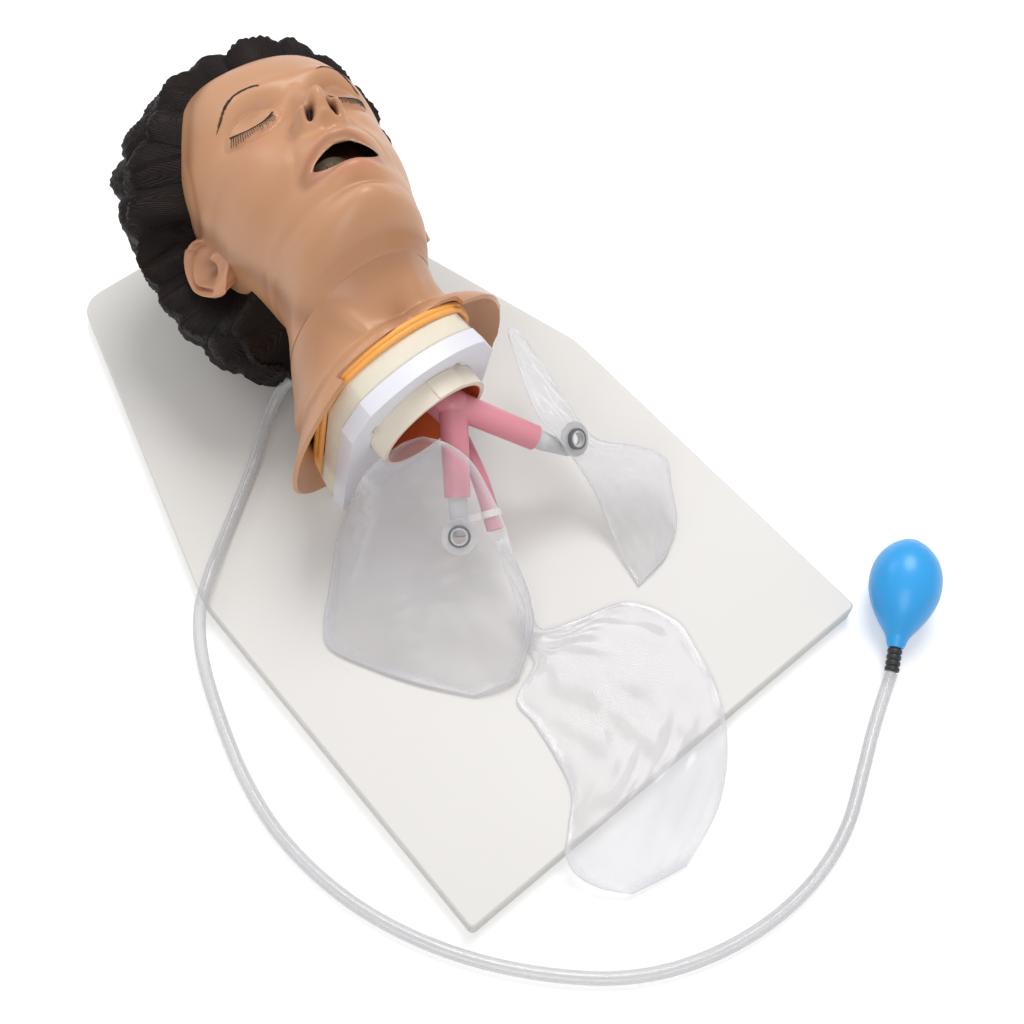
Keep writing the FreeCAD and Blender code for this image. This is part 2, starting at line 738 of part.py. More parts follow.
def jaw_pins():
    return Part.makeCompound([jaw_pin_bar(side, JAW_PIN_RADIUS, JAW_PIN_REACH) for side in (-1, 1)])


def hair_rings(gap, lock):
    rings = []
    for index, (front, back, left, half, roundness) in enumerate(section_lines(0, 0)[:HAIR_LAST + 1]):
        ahead = unit(front - back)
        ring = []
        base = section_ring(front + ahead * gap, back - ahead * gap, left, half + gap, roundness, HAIR_AROUND, 0)
        middle = back + (front - back) * WIDEST
        for k, point in enumerate(base):
            wave = lock * math.sin(k * 2.4 + index * 1.1) * math.cos(index * 1.7 + k * 0.6)
            ring.append(point + unit(point - middle) * wave)
        rings.append(ring)
    return rings


def hair():
    """Moulded locks that cover the back and top of the head and stop at the hairline."""
    outer = hair_rings(HAIR_THICK, HAIR_LOCK)
    middle = head_point(0, CROWN_CAP, 0)
    domes = []
    for share, rise in ((0.3, HAIR_TOP), (0.62, HAIR_TOP * 0.8)):
        domes.append([middle + (p - middle) * share + HEAD_CROWN * rise for p in outer[1]])
    mass = ring_solid(domes + outer[1:])
    inner = hair_rings(HAIR_GAP, 0)
    inner[0] = [p + HEAD_CROWN * HAIR_GAP for p in inner[0]]
    foot = [p - HEAD_CROWN * EAR_LENGTH for p in inner[-1]]
    mass = mass.cut(ring_solid(inner + [foot]))
    outline = [V(x, y, HAIRLINE_DEPTH) for x, y in (
        (-130, -200), (-130, -30), (-82, -24), (-70, 30), (-56, 62), (-30, 82), (0, 88),
        (30, 82), (56, 62), (70, 30), (82, -24), (130, -30), (130, -200))]
    window = head_placed(polygon_face(outline).extrude(V(0, 0, 240)))
    mass = mass.cut(window)
    for side in (-1, 1):
        room = small_ellipsoid(V(26, EAR_LENGTH / 2 + EAR_ROOM, EAR_WIDTH / 2 + EAR_ROOM))
        room.translate(V(side * (EAR_ROOT + 12), EAR_LEVEL, EAR_BACK + 2))
        mass = mass.cut(head_placed(room))
    mass = above_board(mass, SEAT_GAP)
    return max(mass.Solids, key=lambda s: s.Volume)


def arch_plate(half, deep, front, wall, level, high):
    """A horseshoe that lies across the mouth, open to the back."""
    def half_oval(a, b, centre):
        edges = [Part.Arc(V(-a, level, centre), V(0, level, centre + b), V(a, level, centre)).toShape(),
                 Part.makeLine(V(a, level, centre), V(-a, level, centre))]
        if abs(a - b) < 0.01:
            return Part.Face(Part.Wire(edges))
        oval = Part.Ellipse(V(0, level, centre + b), V(a, level, centre), V(0, level, centre)) if b > a \
            else Part.Ellipse(V(a, level, centre), V(0, level, centre + b), V(0, level, centre))
        whole = Part.Face(Part.Wire([oval.toShape()]))
        box = Part.makeBox(4 * a, 2, 2 * b, V(-2 * a, level - 1, centre))
        return whole.common(box)
    centre = front - deep
    outer = half_oval(half, deep, centre).extrude(V(0, high, 0))
    inner = half_oval(half - wall, deep - wall, centre).extrude(V(0, high + 2, 0))
    inner.translate(V(0, -1, 0))
    return outer.cut(inner), outer


def teeth_row(level, direction, front):
    """Tapered teeth round the arch, wider at the back."""
    centre = front - TOOTH_ARCH_DEEP
    teeth = []
    for k in range(TOOTH_COUNT):
        share = (k + 0.5) / TOOTH_COUNT
        angle = math.pi * share
        x = (TOOTH_ARCH_HALF - TOOTH_THICK / 2) * math.cos(angle)
        z = centre + (TOOTH_ARCH_DEEP - TOOTH_THICK / 2) * math.sin(angle)
        slope = math.atan2(TOOTH_ARCH_DEEP * math.cos(angle), -TOOTH_ARCH_HALF * math.sin(angle))
        step = math.hypot(TOOTH_ARCH_DEEP * math.cos(angle), TOOTH_ARCH_HALF * math.sin(angle))
        wide = step * math.pi / TOOTH_COUNT * TOOTH_FILL
        base = [V(-wide / 2, 0, -TOOTH_THICK / 2), V(wide / 2, 0, -TOOTH_THICK / 2),
                V(wide / 2, 0, TOOTH_THICK / 2), V(-wide / 2, 0, TOOTH_THICK / 2)]
        tip = [V(p.x * 0.86, direction * TOOTH_HIGH, p.z * 0.45) for p in base]
        tooth = ring_solid([base, tip] if direction > 0 else [tip, base])
        tooth.rotate(V(0, 0, 0), V(0, 1, 0), -math.degrees(slope))
        tooth.translate(V(x, level, z))
        teeth.append(tooth)
    return teeth


def upper_teeth():
    level = PALATE_LEVEL - GUM_HIGH
    gum = arch_plate(TOOTH_ARCH_HALF, TOOTH_ARCH_DEEP, TOOTH_ARCH_FRONT, GUM_WALL, level, GUM_HIGH)[0]
    row_of_teeth = gum.multiFuse(teeth_row(level + GUM_BITE, -1, TOOTH_ARCH_FRONT))
    return head_placed(row_of_teeth.removeSplitter())


def palate():
    """The roof of the mouth, which closes the upper arch."""
    half = TOOTH_ARCH_HALF - GUM_WALL - SEAT_GAP
    deep = TOOTH_ARCH_DEEP - GUM_WALL - SEAT_GAP
    plate = arch_plate(half, deep, TOOTH_ARCH_FRONT - GUM_WALL - SEAT_GAP, 3, PALATE_LEVEL - PALATE_THICK, PALATE_THICK)[1]
    back = Part.makeBox(2 * half, PALATE_THICK, PALATE_BACK)
    back.translate(V(-half, PALATE_LEVEL - PALATE_THICK, TOOTH_ARCH_FRONT - TOOTH_ARCH_DEEP - PALATE_BACK))
    uvula = Part.makeCone(2.5, 1.5, 9, V(0, PALATE_LEVEL - PALATE_THICK + 1, TOOTH_ARCH_FRONT - TOOTH_ARCH_DEEP - PALATE_BACK + 4), V(0, -1, 0))
    return head_placed(plate.fuse(back).fuse(uvula).removeSplitter())


def jaw():
    hinge_up, hinge_forward = JAW_HINGE
    floor = LOWER_TEETH_LEVEL - GUM_HIGH
    half = JAW_WIDE + JAW_THICK / 2
    body_deep = JAW_FRONT - hinge_forward
    body, filled = arch_plate(half, body_deep, JAW_FRONT, JAW_THICK, floor - JAW_HIGH, JAW_HIGH)
    plate = arch_plate(half, body_deep, JAW_FRONT, JAW_THICK, floor - JAW_HIGH, JAW_FLOOR)[1]
    parts = [plate]
    for side in (-1, 1):
        arm = Part.makeBox(JAW_THICK, hinge_up - (floor - JAW_HIGH), 2 * ARM_HALF)
        arm.translate(V(side * JAW_WIDE - JAW_THICK / 2, floor - JAW_HIGH, hinge_forward - ARM_HALF))
        knuckle = Part.makeCylinder(ARM_HALF, JAW_THICK, V(side * JAW_WIDE - JAW_THICK / 2, hinge_up, hinge_forward), V(1, 0, 0))
        parts += [arm, knuckle]
    body = head_placed(body.multiFuse(parts))
    for side in (-1, 1):
        body = body.cut(jaw_pin_bar(side, JAW_PIN_RADIUS + JAW_PIN_CLEARANCE, JAW_PIN_REACH + 2))
    return body.removeSplitter()


def lower_teeth():
    """The lower teeth and the gum plate that lies on the jaw's arch."""
    level = LOWER_TEETH_LEVEL - GUM_HIGH
    half, front = TOOTH_ARCH_HALF, LOWER_ARCH_FRONT
    gum = arch_plate(half, TOOTH_ARCH_DEEP, front, GUM_WALL, level, GUM_HIGH)[0]
    start = JAW_HINGE[1] + ARM_HALF + SEAT_GAP
    plate_front = JAW_FRONT - GUM_PLATE_INSET
    plate = arch_plate(JAW_WIDE, plate_front - start, plate_front, GUM_WALL, level, GUM_PLATE_THICK)[1]
    room = arch_plate(half - GUM_WALL, TOOTH_ARCH_DEEP - GUM_WALL, front - GUM_WALL, 3, level - 1, GUM_HIGH)[1]
    back = Part.makeBox(2 * (half - GUM_WALL), GUM_HIGH, front - TOOTH_ARCH_DEEP)
    back.translate(V(GUM_WALL - half, level - 1, 0))
    plate = plate.cut(room).cut(back)
    row_of_teeth = teeth_row(LOWER_TEETH_LEVEL - GUM_BITE, 1, front)
    return head_placed(gum.fuse(plate).multiFuse(row_of_teeth).removeSplitter())


TONGUE_SECTIONS = ((20, 12, -78), (26, 15, -70), (38, 15.5, -66), (50, 13, -68), (58, 9.5, -73), (64, 5, -79))


def tongue():
    """A soft tongue, high in the middle and blunt at its tip."""
    floor = LOWER_TEETH_LEVEL - GUM_HIGH - JAW_HIGH + JAW_FLOOR + SEAT_GAP
    rings = []
    for z, half, top in TONGUE_SECTIONS:
        ring = []
        high = (top - floor) / 2
        for k in range(TONGUE_AROUND):
            turn = 2 * math.pi * k / TONGUE_AROUND
            ring.append(head_point(half * math.cos(turn), floor + high + high * math.sin(turn), z))
        rings.append(ring)
    return ring_solid(rings)


PHARYNX_ROUTE = [head_point(0, up, z) for up, z in ((-60, 14), (-61, -18), (-90, -24.6))]
AIRWAY_START = head_point(0, -99, -26.5)
LARYNX_END = row(10, 311, 129.5)
TRACHEA_START = row(10.3, 310, 129.3)
CARINA = row(22, 263, 119)
BRONCHUS_ENDS = {"left": row(61, 220.5, 88), "right": row(-11, 218, 87)}
FITTING_TIPS = {"left": row(83, 208, 65), "right": row(-25, 198, 76)}
PORT_PLACES = {"left": row(87, 206, 78), "right": row(-29, 194, 86)}
PORT_FACES = {"left": unit(V(0.23, -0.69, 0.68)), "right": unit(V(-0.33, -0.36, 0.87))}
ESOPHAGUS_ROUTE = [row(12, 322, 106), row(16, 294, 101), row(24, 263, 89), row(14, 221, 74), row(2, 193, 61)]


def pharynx():
    return hollow_tube(PHARYNX_ROUTE, PHARYNX_RADIUS, AIRWAY_WALL)


def larynx():
    """The voice box: a flared tube with a shield in front."""
    outer = taper(AIRWAY_START, LARYNX_END, LARYNX_RADIUS, TRACHEA_RADIUS + AIRWAY_WALL)
    along = unit(LARYNX_END - AIRWAY_START)
    shield = small_ellipsoid(V(9, 9, 12))
    shield.translate(AIRWAY_START + along * 12 + V(0, 0, 1) * (LARYNX_RADIUS - 5))
    outer = outer.fuse(shield)
    bore = rod(AIRWAY_START - along, LARYNX_END + along, TRACHEA_RADIUS - AIRWAY_WALL)
    return outer.cut(bore)


def epiglottis():
    """A leaf that stands on the front rim of the voice box."""
    along = unit(AIRWAY_START - LARYNX_END)
    front = unit(V(0, 0, 1) - along * along.z)
    side = along.cross(front)
    root = AIRWAY_START + along * SEAT_GAP + front * (LARYNX_RADIUS - EPIGLOTTIS_INSET)
    outline = [root - side * 3, root - side * 5 + along * 6, root + along * 12, root + side * 5 + along * 6, root + side * 3]
    edges = [Part.makeLine(outline[0], outline[1]), Part.Arc(outline[1], outline[2], outline[3]).toShape(),
             Part.makeLine(outline[3], outline[4]), Part.makeLine(outline[4], outline[0])]
    return Part.Face(Part.Wire(edges)).extrude(front * EPIGLOTTIS_THICK)


def windpipe(trachea_radius, bronchus_radius, overrun):
    start = TRACHEA_START - unit(CARINA - TRACHEA_START) * overrun
    parts = [rod(start, CARINA, trachea_radius)]
    for end in BRONCHUS_ENDS.values():
        tip = end + unit(end - CARINA) * overrun
        parts.append(taper(CARINA, tip, trachea_radius - 1, bronchus_radius))
    knot = Part.makeSphere(trachea_radius, CARINA)
    return knot.multiFuse(parts)


def trachea_and_bronchi():
    outer = windpipe(TRACHEA_RADIUS, BRONCHUS_RADIUS, 0)
    return outer.cut(windpipe(TRACHEA_RADIUS - AIRWAY_WALL, BRONCHUS_RADIUS - AIRWAY_WALL, 1))


def esophagus():
    return hollow_tube(ESOPHAGUS_ROUTE, ESOPHAGUS_RADIUS, ESOPHAGUS_WALL)


def esophagus_clip():
    """A split clamp round the oesophagus with a short tail."""
    start, end = ESOPHAGUS_ROUTE[-2], ESOPHAGUS_ROUTE[-1]
    along = unit(end - start)
    place = end - along * CLIP_FROM_END
    ring = rod(place, place + along * CLIP_WIDE, ESOPHAGUS_RADIUS + CLIP_THICK)
    side = unit(along.cross(V(0, 0, 1)))
    tail = Part.makeBox(CLIP_TAIL, CLIP_THICK * 1.5, CLIP_WIDE)
    upright = side.cross(along)
    matrix = FreeCAD.Matrix(side.x, upright.x, along.x, place.x, side.y, upright.y, along.y, place.y,
                            side.z, upright.z, along.z, place.z, 0, 0, 0, 1)
    tail.translate(V(ESOPHAGUS_RADIUS, 0, 0))
    ring = ring.fuse(tail.transformGeometry(matrix))
    return ring.cut(rod(place - along, place + along * (CLIP_WIDE + 1), ESOPHAGUS_RADIUS + CLIP_GAP))


def bronchus_fitting(side):
    """A tapered bend that plugs into a bronchus and feeds the lung under its port."""
    end, tip = BRONCHUS_ENDS[side], FITTING_TIPS[side]
    outward = unit(end - CARINA)
    grip, knee = end - outward * FITTING_GRIP, end + outward * FITTING_KNEE
    along = unit(tip - knee)
    outer = rod(grip, knee, FITTING_RADIUS).fuse(taper(knee, tip, FITTING_RADIUS, FITTING_TIP_RADIUS))
    outer = outer.fuse(Part.makeSphere(FITTING_RADIUS, knee))
    bore = rod(grip, knee, FITTING_BORE).fuse(rod(knee, tip + along, FITTING_BORE))
    return outer.cut(bore.fuse(Part.makeSphere(FITTING_BORE, knee)))


def port_bar(side, radius, low, high):
    place, face = PORT_PLACES[side], PORT_FACES[side]
    return rod(place + face * low, place + face * high, radius)


def lung_port(side):
    flange = port_bar(side, PORT_FLANGE_RADIUS, -PORT_FLANGE_THICK, 0)
    stem = port_bar(side, PORT_RING_RADIUS, -PORT_STEM, PORT_RIM)
    return flange.fuse(stem).cut(port_bar(side, PORT_RING_RADIUS - PORT_WALL, -PORT_STEM - 1, PORT_RIM + 1))


def port_ring(side):
    ring = port_bar(side, PORT_RING_RADIUS + PORT_RING_WALL, SEAT_GAP, PORT_RIM)
    return ring.cut(port_bar(side, PORT_RING_RADIUS + 0.1, -1, PORT_RIM + 1))


def film_bag(rows):
    """A slack bag of film: rows of points across its top, and the same film under them."""
    top = [[row(*place) for place in line] for line in rows]
    low = [[point - V(0, 0, FILM_THICK) for point in line] for line in top]
    faces = []
    for layer in (top, low):
        for near, far in zip(layer, layer[1:]):
            for k in range(len(near) - 1):
                faces.append(polygon_face([near[k], near[k + 1], far[k + 1]]))
                faces.append(polygon_face([near[k], far[k + 1], far[k]]))
    rims = []
    for layer in (top, low):
        right_side = [line[-1] for line in layer[1:-1]]
        left_side = [line[0] for line in layer[-2:0:-1]]
        rims.append(layer[0] + right_side + layer[-1][::-1] + left_side)
    count = len(rims[0])
    for k in range(count):
        n = (k + 1) % count
        faces.append(polygon_face([rims[0][k], rims[0][n], rims[1][n]]))
        faces.append(polygon_face([rims[0][k], rims[1][n], rims[1][k]]))
    return solid_of(faces)


RIGHT_LUNG_ROWS = [
    [(-60, 288, 19), (-58, 278, 60), (-53, 268, 98), (-28, 260, 120), (-13, 252, 126)],
    [(-76, 278, 19), (-68, 262, 62), (-52, 248, 96), (-25, 244, 119), (-5, 238, 127)],
    [(-92, 262, 19), (-76, 246, 60), (-50, 230, 90), (-21, 226, 110), (4, 222, 115)],
    [(-108, 246, 19), (-82, 228, 56), (-44, 206, 84), (-19, 206, 100), (5, 204, 100)],
    [(-124, 230, 19), (-85, 210, 52), (-38, 188, 77), (-17, 188, 90), (-1, 180, 91)],
    [(-132, 212, 19), (-82, 190, 46), (-31, 171, 68), (-14, 168, 77), (-8, 162, 79)],
    [(-118, 180, 19), (-72, 164, 40), (-22, 156, 54), (-14, 152, 58), (-10, 147, 59)],
    [(-100, 150, 19), (-64, 138, 31), (-26, 132, 38), (-20, 131, 38), (-15, 130, 36)],
    [(-76, 119, 19), (-63, 114, 22), (-54, 111, 22), (-49, 110, 21), (-45, 110, 20)],
]
LEFT_LUNG_ROWS = [
    [(108, 306, 82), (112, 309, 81), (116, 309, 78), (121, 306, 72)],
    [(95, 280, 88), (99, 282, 84), (109, 282, 76), (119, 278, 66)],
    [(80, 252, 95), (92, 252, 85), (104, 250, 74), (113, 248, 62)],
    [(70, 229, 100), (82, 226, 93), (96, 222, 80), (108, 220, 60)],
    [(73, 211, 90), (86, 207, 79), (98, 204, 68), (111, 203, 57)],
    [(79, 195, 68), (90, 191, 64), (108, 189, 58), (131, 184, 52)],
    [(82, 175, 46), (98, 171, 48), (120, 168, 48), (143, 166, 46)],
    [(78, 152, 27), (94, 149, 32), (114, 148, 36), (134, 148, 36)],
    [(72, 129, 20), (84, 128, 24), (102, 127, 26), (122, 128, 24)],
    [(68, 110, 19), (76, 111, 20), (86, 112, 20), (98, 114, 19)],
]


def lung(side):
    """A lung of film with a round hole that its port fills."""
    bag = film_bag(LEFT_LUNG_ROWS if side == "left" else RIGHT_LUNG_ROWS)
    bag = bag.cut(port_bar(side, PORT_FLANGE_RADIUS + BAG_GAP, -FILM_REACH, FILM_REACH))
    bag = bag.cut(sleeve_bar(SLEEVE_RADIUS + SLEEVE_LAP + BAG_GAP, SLEEVE_FRONT + BAG_GAP, -SLEEVE_BACK))
    return max(bag.Solids, key=lambda s: s.Volume)


STOMACH_ROWS = [
    [(-3, 187, 58), (1, 186, 59), (5, 185, 58)],
    [(-14, 152, 38), (-8, 152, 40), (-2, 152, 38)],
    [(-24, 130, 22), (-18, 130, 23), (-10, 130, 22)],
    [(-30, 112, 19), (-14, 114, 20), (10, 120, 19)],
    [(-56, 100, 19), (0, 104, 20), (52, 106, 19)],
    [(-58, 80, 19), (6, 80, 20), (70, 74, 19)],
    [(-62, 55, 19), (2, 54, 20), (66, 48, 19)],
    [(-70, 28, 19), (-6, 26, 20), (58, 22, 19)],
    [(-88, 10, 19), (-20, 6, 20), (46, 0, 19)],
    [(-101, -2, 19), (-30, -8, 19), (36, -14, 16.5)],
    [(-104, -16, 15.5), (-40, -24, 14), (20, -30, 11.5)],
    [(-97, -32, 10.5), (-48, -40, 9), (-4, -45, 7.5)],
    [(-82, -48, 6), (-62, -53, 4.6), (-42, -57, 4)],
]


def stomach_bag():
    return film_bag(STOMACH_ROWS)


# Pulse line

TUBE_ON_FLOOR = TUBE_DIAMETER / 2 + 0.3
TUBE_ON_BOARD = BOARD_THICK + TUBE_DIAMETER / 2 + 0.3
TUBE_ROUTE = [row(x, y, z) for x, y, z in (
    (-18.4, 365.6, 76.7), (-25, 379.5, 68.6), (-35, 393, 50), (-53, 389, 33), (-78, 372, TUBE_ON_BOARD + 2), (-110, 349, TUBE_ON_BOARD),
    (-141, 327, TUBE_ON_BOARD + 1), (-166, 307, TUBE_ON_BOARD + 6), (-188, 289, TUBE_ON_BOARD + 3), (-205, 262, 11),
    (-219, 221, TUBE_ON_FLOOR), (-231, 176, TUBE_ON_FLOOR), (-236, 126, TUBE_ON_FLOOR), (-227, 66, TUBE_ON_FLOOR),
    (-203, 9, TUBE_ON_FLOOR), (-167, -42, TUBE_ON_FLOOR), (-118, -89, TUBE_ON_FLOOR), (-60, -114, TUBE_ON_FLOOR),
    (0, -121, TUBE_ON_FLOOR), (54, -111, TUBE_ON_FLOOR), (98, -86, TUBE_ON_FLOOR), (132, -66, TUBE_ON_FLOOR + 1.5),
    (161.5, -51.5, 10.5))]
BULB_CENTRE = row(203.5, -19.5, BULB_DIAMETER / 2 + 0.2)


def pulse_tube():
    tube, wire, radii = swept_tube(TUBE_ROUTE, TUBE_DIAMETER / 2)
    ideal = math.pi * (TUBE_DIAMETER / 2) ** 2 * wire.Length
    print("tube length %.0f, volume share %.4f, smallest radius %.0f" % (wire.Length, tube.Volume / ideal, min(radii)))
    print("tube radii", [round(r) for r in radii])
    return tube


def bulb_axis():
    return unit(BULB_CENTRE - TUBE_ROUTE[-1])


def ribbed_bar(start, along, profile, count):
    """Flat-sided turned body from (distance, radius) pairs along an axis."""
    side = unit(along.cross(V(0, 0, 1)))
    other = along.cross(side)
    rings = []
    for reach, radius in profile:
        ring = []
        for k in range(count):
            turn = 2 * math.pi * k / count
            ring.append(start + along * reach + side * (radius * math.cos(turn)) + other * (radius * math.sin(turn)))
        rings.append(ring)
    return ring_solid(rings)


def tube_connector():
    along = bulb_axis()
    start = TUBE_ROUTE[-1] + along * CONNECTOR_GAP
    profile = []
    ribs = 4
    pitch = CONNECTOR_LENGTH / ribs
    for k in range(ribs):
        profile += [(k * pitch, CONNECTOR_RADIUS - 0.8), (k * pitch + 0.8, CONNECTOR_RADIUS),
                    (k * pitch + pitch - 1.4, CONNECTOR_RADIUS), (k * pitch + pitch - 0.7, CONNECTOR_RADIUS - 0.8)]
    return ribbed_bar(start, along, profile, 16)


def squeeze_bulb():
    along = bulb_axis()
    start = TUBE_ROUTE[-1] + along * (CONNECTOR_GAP + CONNECTOR_LENGTH + SEAT_GAP)
    half = BULB_DIAMETER / 2
    shares = ((0, 0.22), (0.04, 0.27), (0.10, 0.33), (0.2, 0.55), (0.32, 0.78), (0.46, 0.95), (0.6, 1.0),
              (0.73, 0.94), (0.84, 0.78), (0.93, 0.52), (0.985, 0.24))
    profile = [(share * BULB_LENGTH, half * wide) for share, wide in shares]
    return ribbed_bar(start, along, profile, 24)


def tube_grommet():
    """The eyelet in the neck where the pulse tube comes out."""
    along = unit(TUBE_ROUTE[0] - TUBE_ROUTE[1])
    start = TUBE_ROUTE[0] + along * SEAT_GAP
    flange = rod(start, start + along * 3, GROMMET_RADIUS)
    shank = rod(start, start + along * GROMMET_LENGTH, TUBE_DIAMETER / 2 + GROMMET_WALL)
    return flange.fuse(shank)


def pulse_bladder():
    """A small air pad under the skin of the neck, fed by the pulse tube."""
    along = unit(TUBE_ROUTE[0] - TUBE_ROUTE[1])
    start = TUBE_ROUTE[0] + along * (GROMMET_LENGTH + 2 * SEAT_GAP)
    pad = small_ellipsoid(V(7, 11, 12))
    pad.translate(start + along * BLADDER_REACH)
    line = rod(start, start + along * BLADDER_REACH, TUBE_DIAMETER / 2 - 1)
    return pad.fuse(line)


NODES = {
    "base_board": base_board,
    "neck_plate": neck_plate,
    "plate_screws": plate_screws,
    "neck_collar": neck_collar,
    "neck_gasket": neck_gasket,
    "airway_sleeve": airway_sleeve,
    "head_skin": head_skin,
    "head_core": head_core,
    "hair": hair,
    "jaw_pins": jaw_pins,
    "upper_teeth": upper_teeth,
    "palate": palate,
    "jaw": jaw,
    "lower_teeth": lower_teeth,
    "tongue": tongue,
    "pharynx": pharynx,
    "larynx": larynx,
    "epiglottis": epiglottis,
    "trachea_and_bronchi": trachea_and_bronchi,
    "esophagus": esophagus,
    "esophagus_clip": esophagus_clip,
    "bronchus_fitting_left": lambda: bronchus_fitting("left"),
    "bronchus_fitting_right": lambda: bronchus_fitting("right"),
    "lung_port_left": lambda: lung_port("left"),
    "lung_port_right": lambda: lung_port("right"),
    "port_ring_left": lambda: port_ring("left"),
    "port_ring_right": lambda: port_ring("right"),
    "lung_left": lambda: lung("left"),
    "lung_right": lambda: lung("right"),
    "stomach_bag": stomach_bag,
    "tube_grommet": tube_grommet,
    "pulse_bladder": pulse_bladder,
    "pulse_tube": pulse_tube,
    "tube_connector": tube_connector,
    "squeeze_bulb": squeeze_bulb,
}


def main():
    os.makedirs("parts", exist_ok=True)
    for name, build in NODES.items():
        shape = build()
        box = shape.BoundBox
        print(name, shape.isValid(), len(shape.Solids), round(shape.Volume),
              [round(v) for v in (box.XMin, box.XMax, box.YMin, box.YMax, box.ZMin, box.ZMax)])
        shape.exportStep("parts/" + name + ".step")


main()
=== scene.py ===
"""Airway management trainer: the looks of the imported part, laid out as an add-on."""

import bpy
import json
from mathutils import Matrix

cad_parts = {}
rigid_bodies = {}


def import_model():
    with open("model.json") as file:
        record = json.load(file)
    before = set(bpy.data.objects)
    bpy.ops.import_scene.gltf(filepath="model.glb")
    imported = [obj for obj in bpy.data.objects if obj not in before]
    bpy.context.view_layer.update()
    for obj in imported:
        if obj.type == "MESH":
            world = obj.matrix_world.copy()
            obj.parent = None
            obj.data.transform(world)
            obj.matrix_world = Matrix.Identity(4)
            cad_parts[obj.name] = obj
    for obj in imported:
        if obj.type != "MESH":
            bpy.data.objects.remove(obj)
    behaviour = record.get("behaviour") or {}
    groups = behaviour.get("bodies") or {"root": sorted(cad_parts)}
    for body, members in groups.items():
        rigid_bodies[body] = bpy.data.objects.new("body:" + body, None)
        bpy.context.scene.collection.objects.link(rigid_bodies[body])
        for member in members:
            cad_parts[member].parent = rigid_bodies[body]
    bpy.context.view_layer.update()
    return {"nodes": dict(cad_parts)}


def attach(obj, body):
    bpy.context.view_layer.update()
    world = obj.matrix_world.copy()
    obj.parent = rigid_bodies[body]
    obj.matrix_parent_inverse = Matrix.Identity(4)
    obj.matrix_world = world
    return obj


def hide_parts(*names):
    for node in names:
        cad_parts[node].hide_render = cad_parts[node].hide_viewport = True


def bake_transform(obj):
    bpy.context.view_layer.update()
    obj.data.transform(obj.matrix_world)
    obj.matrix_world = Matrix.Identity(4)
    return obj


bl_info = {
    "name": "Airway management trainer",
    "version": (1, 0, 0),
    "blender": (4, 5, 0),
    "location": "View3D > Sidebar > Airway trainer",
    "description": "Builds a head and neck trainer on its board, with airways, film bags and a bulb",
    "category": "Object",
}

import json
import math

import bpy
import numpy as np
from bpy.props import FloatProperty, FloatVectorProperty, IntProperty
from mathutils import Vector
from mathutils.bvhtree import BVHTree

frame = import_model()
NODES = frame["nodes"]

MM = 0.001
WELD_GAP = 0.00001
HALF_LENGTH = 290.0


def row(x, from_foot, z):
    """A point in millimetres, its second number counted from the board's foot edge."""
    return np.array([x, from_foot - HALF_LENGTH, z], float)


def unit(vector):
    vector = np.asarray(vector, float)
    return vector / np.linalg.norm(vector)


# Head axes, as the part has them

HEAD_CENTRE = np.array([30.0, 142.0, 140.0])


def head_axes(turn, tip, roll):
    """The head's left, crown and forward directions."""
    turn, tip, roll = math.radians(turn), math.radians(tip), math.radians(roll)
    crown = np.array([math.sin(turn) * math.cos(tip), math.cos(turn) * math.cos(tip), -math.sin(tip)])
    level_left = np.array([math.cos(turn), -math.sin(turn), 0.0])
    upright = np.cross(level_left, crown)
    forward = upright * math.cos(roll) + level_left * math.sin(roll)
    return np.cross(crown, forward), crown, forward


LEFT, CROWN, FORWARD = head_axes(12.5, 11.5, 7.8)


def head_point(left, up, ahead):
    """A point of the head, in millimetres of the row frame."""
    return HEAD_CENTRE + LEFT * left + CROWN * up + FORWARD * ahead


def in_head_axes(points):
    local = points - HEAD_CENTRE
    return local @ LEFT, local @ CROWN, local @ FORWARD


# Plate axes

LEAN = math.radians(12.0)
PLATE_UP = np.array([0.0, -math.sin(LEAN), math.cos(LEAN)])
PLATE_OUT = np.array([0.0, -math.cos(LEAN), -math.sin(LEAN)])
PLATE_FOOT = row(3.0, 296.0, 16.0)
BOARD_TOP = 16.3
COLLAR_BACK = -29.3
GASKET_BACK = -33.3
SLEEVE_HEIGHT = 105.0


def plate_point(x, high, out):
    """A point in the leaning plate's axes, out being towards the board's foot."""
    return PLATE_FOOT + np.array([x, 0, 0]) + PLATE_UP * high + PLATE_OUT * out


# Working in Blender

def deselect():
    if bpy.context.object and bpy.context.object.mode != "OBJECT":
        bpy.ops.object.mode_set(mode="OBJECT")
    bpy.ops.object.select_all(action="DESELECT")


def make_active(obj):
    deselect()
    obj.select_set(True)
    bpy.context.view_layer.objects.active = obj


def apply_modifier(obj, kind, **settings):
    """Add one modifier, set it and apply it."""
    make_active(obj)
    modifier = obj.modifiers.new(kind.title(), kind)
    for key, value in settings.items():
        setattr(modifier, key, value)
    bpy.ops.object.modifier_apply(modifier=modifier.name)


def merge_and_turn_out(obj):
    """Weld the points that lie on one another and turn the faces outwards."""
    make_active(obj)
    bpy.ops.object.mode_set(mode="EDIT")
    bpy.ops.mesh.select_all(action="SELECT")
    bpy.ops.mesh.remove_doubles(threshold=WELD_GAP)
    bpy.ops.mesh.normals_make_consistent(inside=False)
    bpy.ops.object.mode_set(mode="OBJECT")


def flip(obj):
    """Turn every face of a piece round."""
    make_active(obj)
    bpy.ops.object.mode_set(mode="EDIT")
    bpy.ops.mesh.select_all(action="SELECT")
    bpy.ops.mesh.flip_normals()
    bpy.ops.object.mode_set(mode="OBJECT")


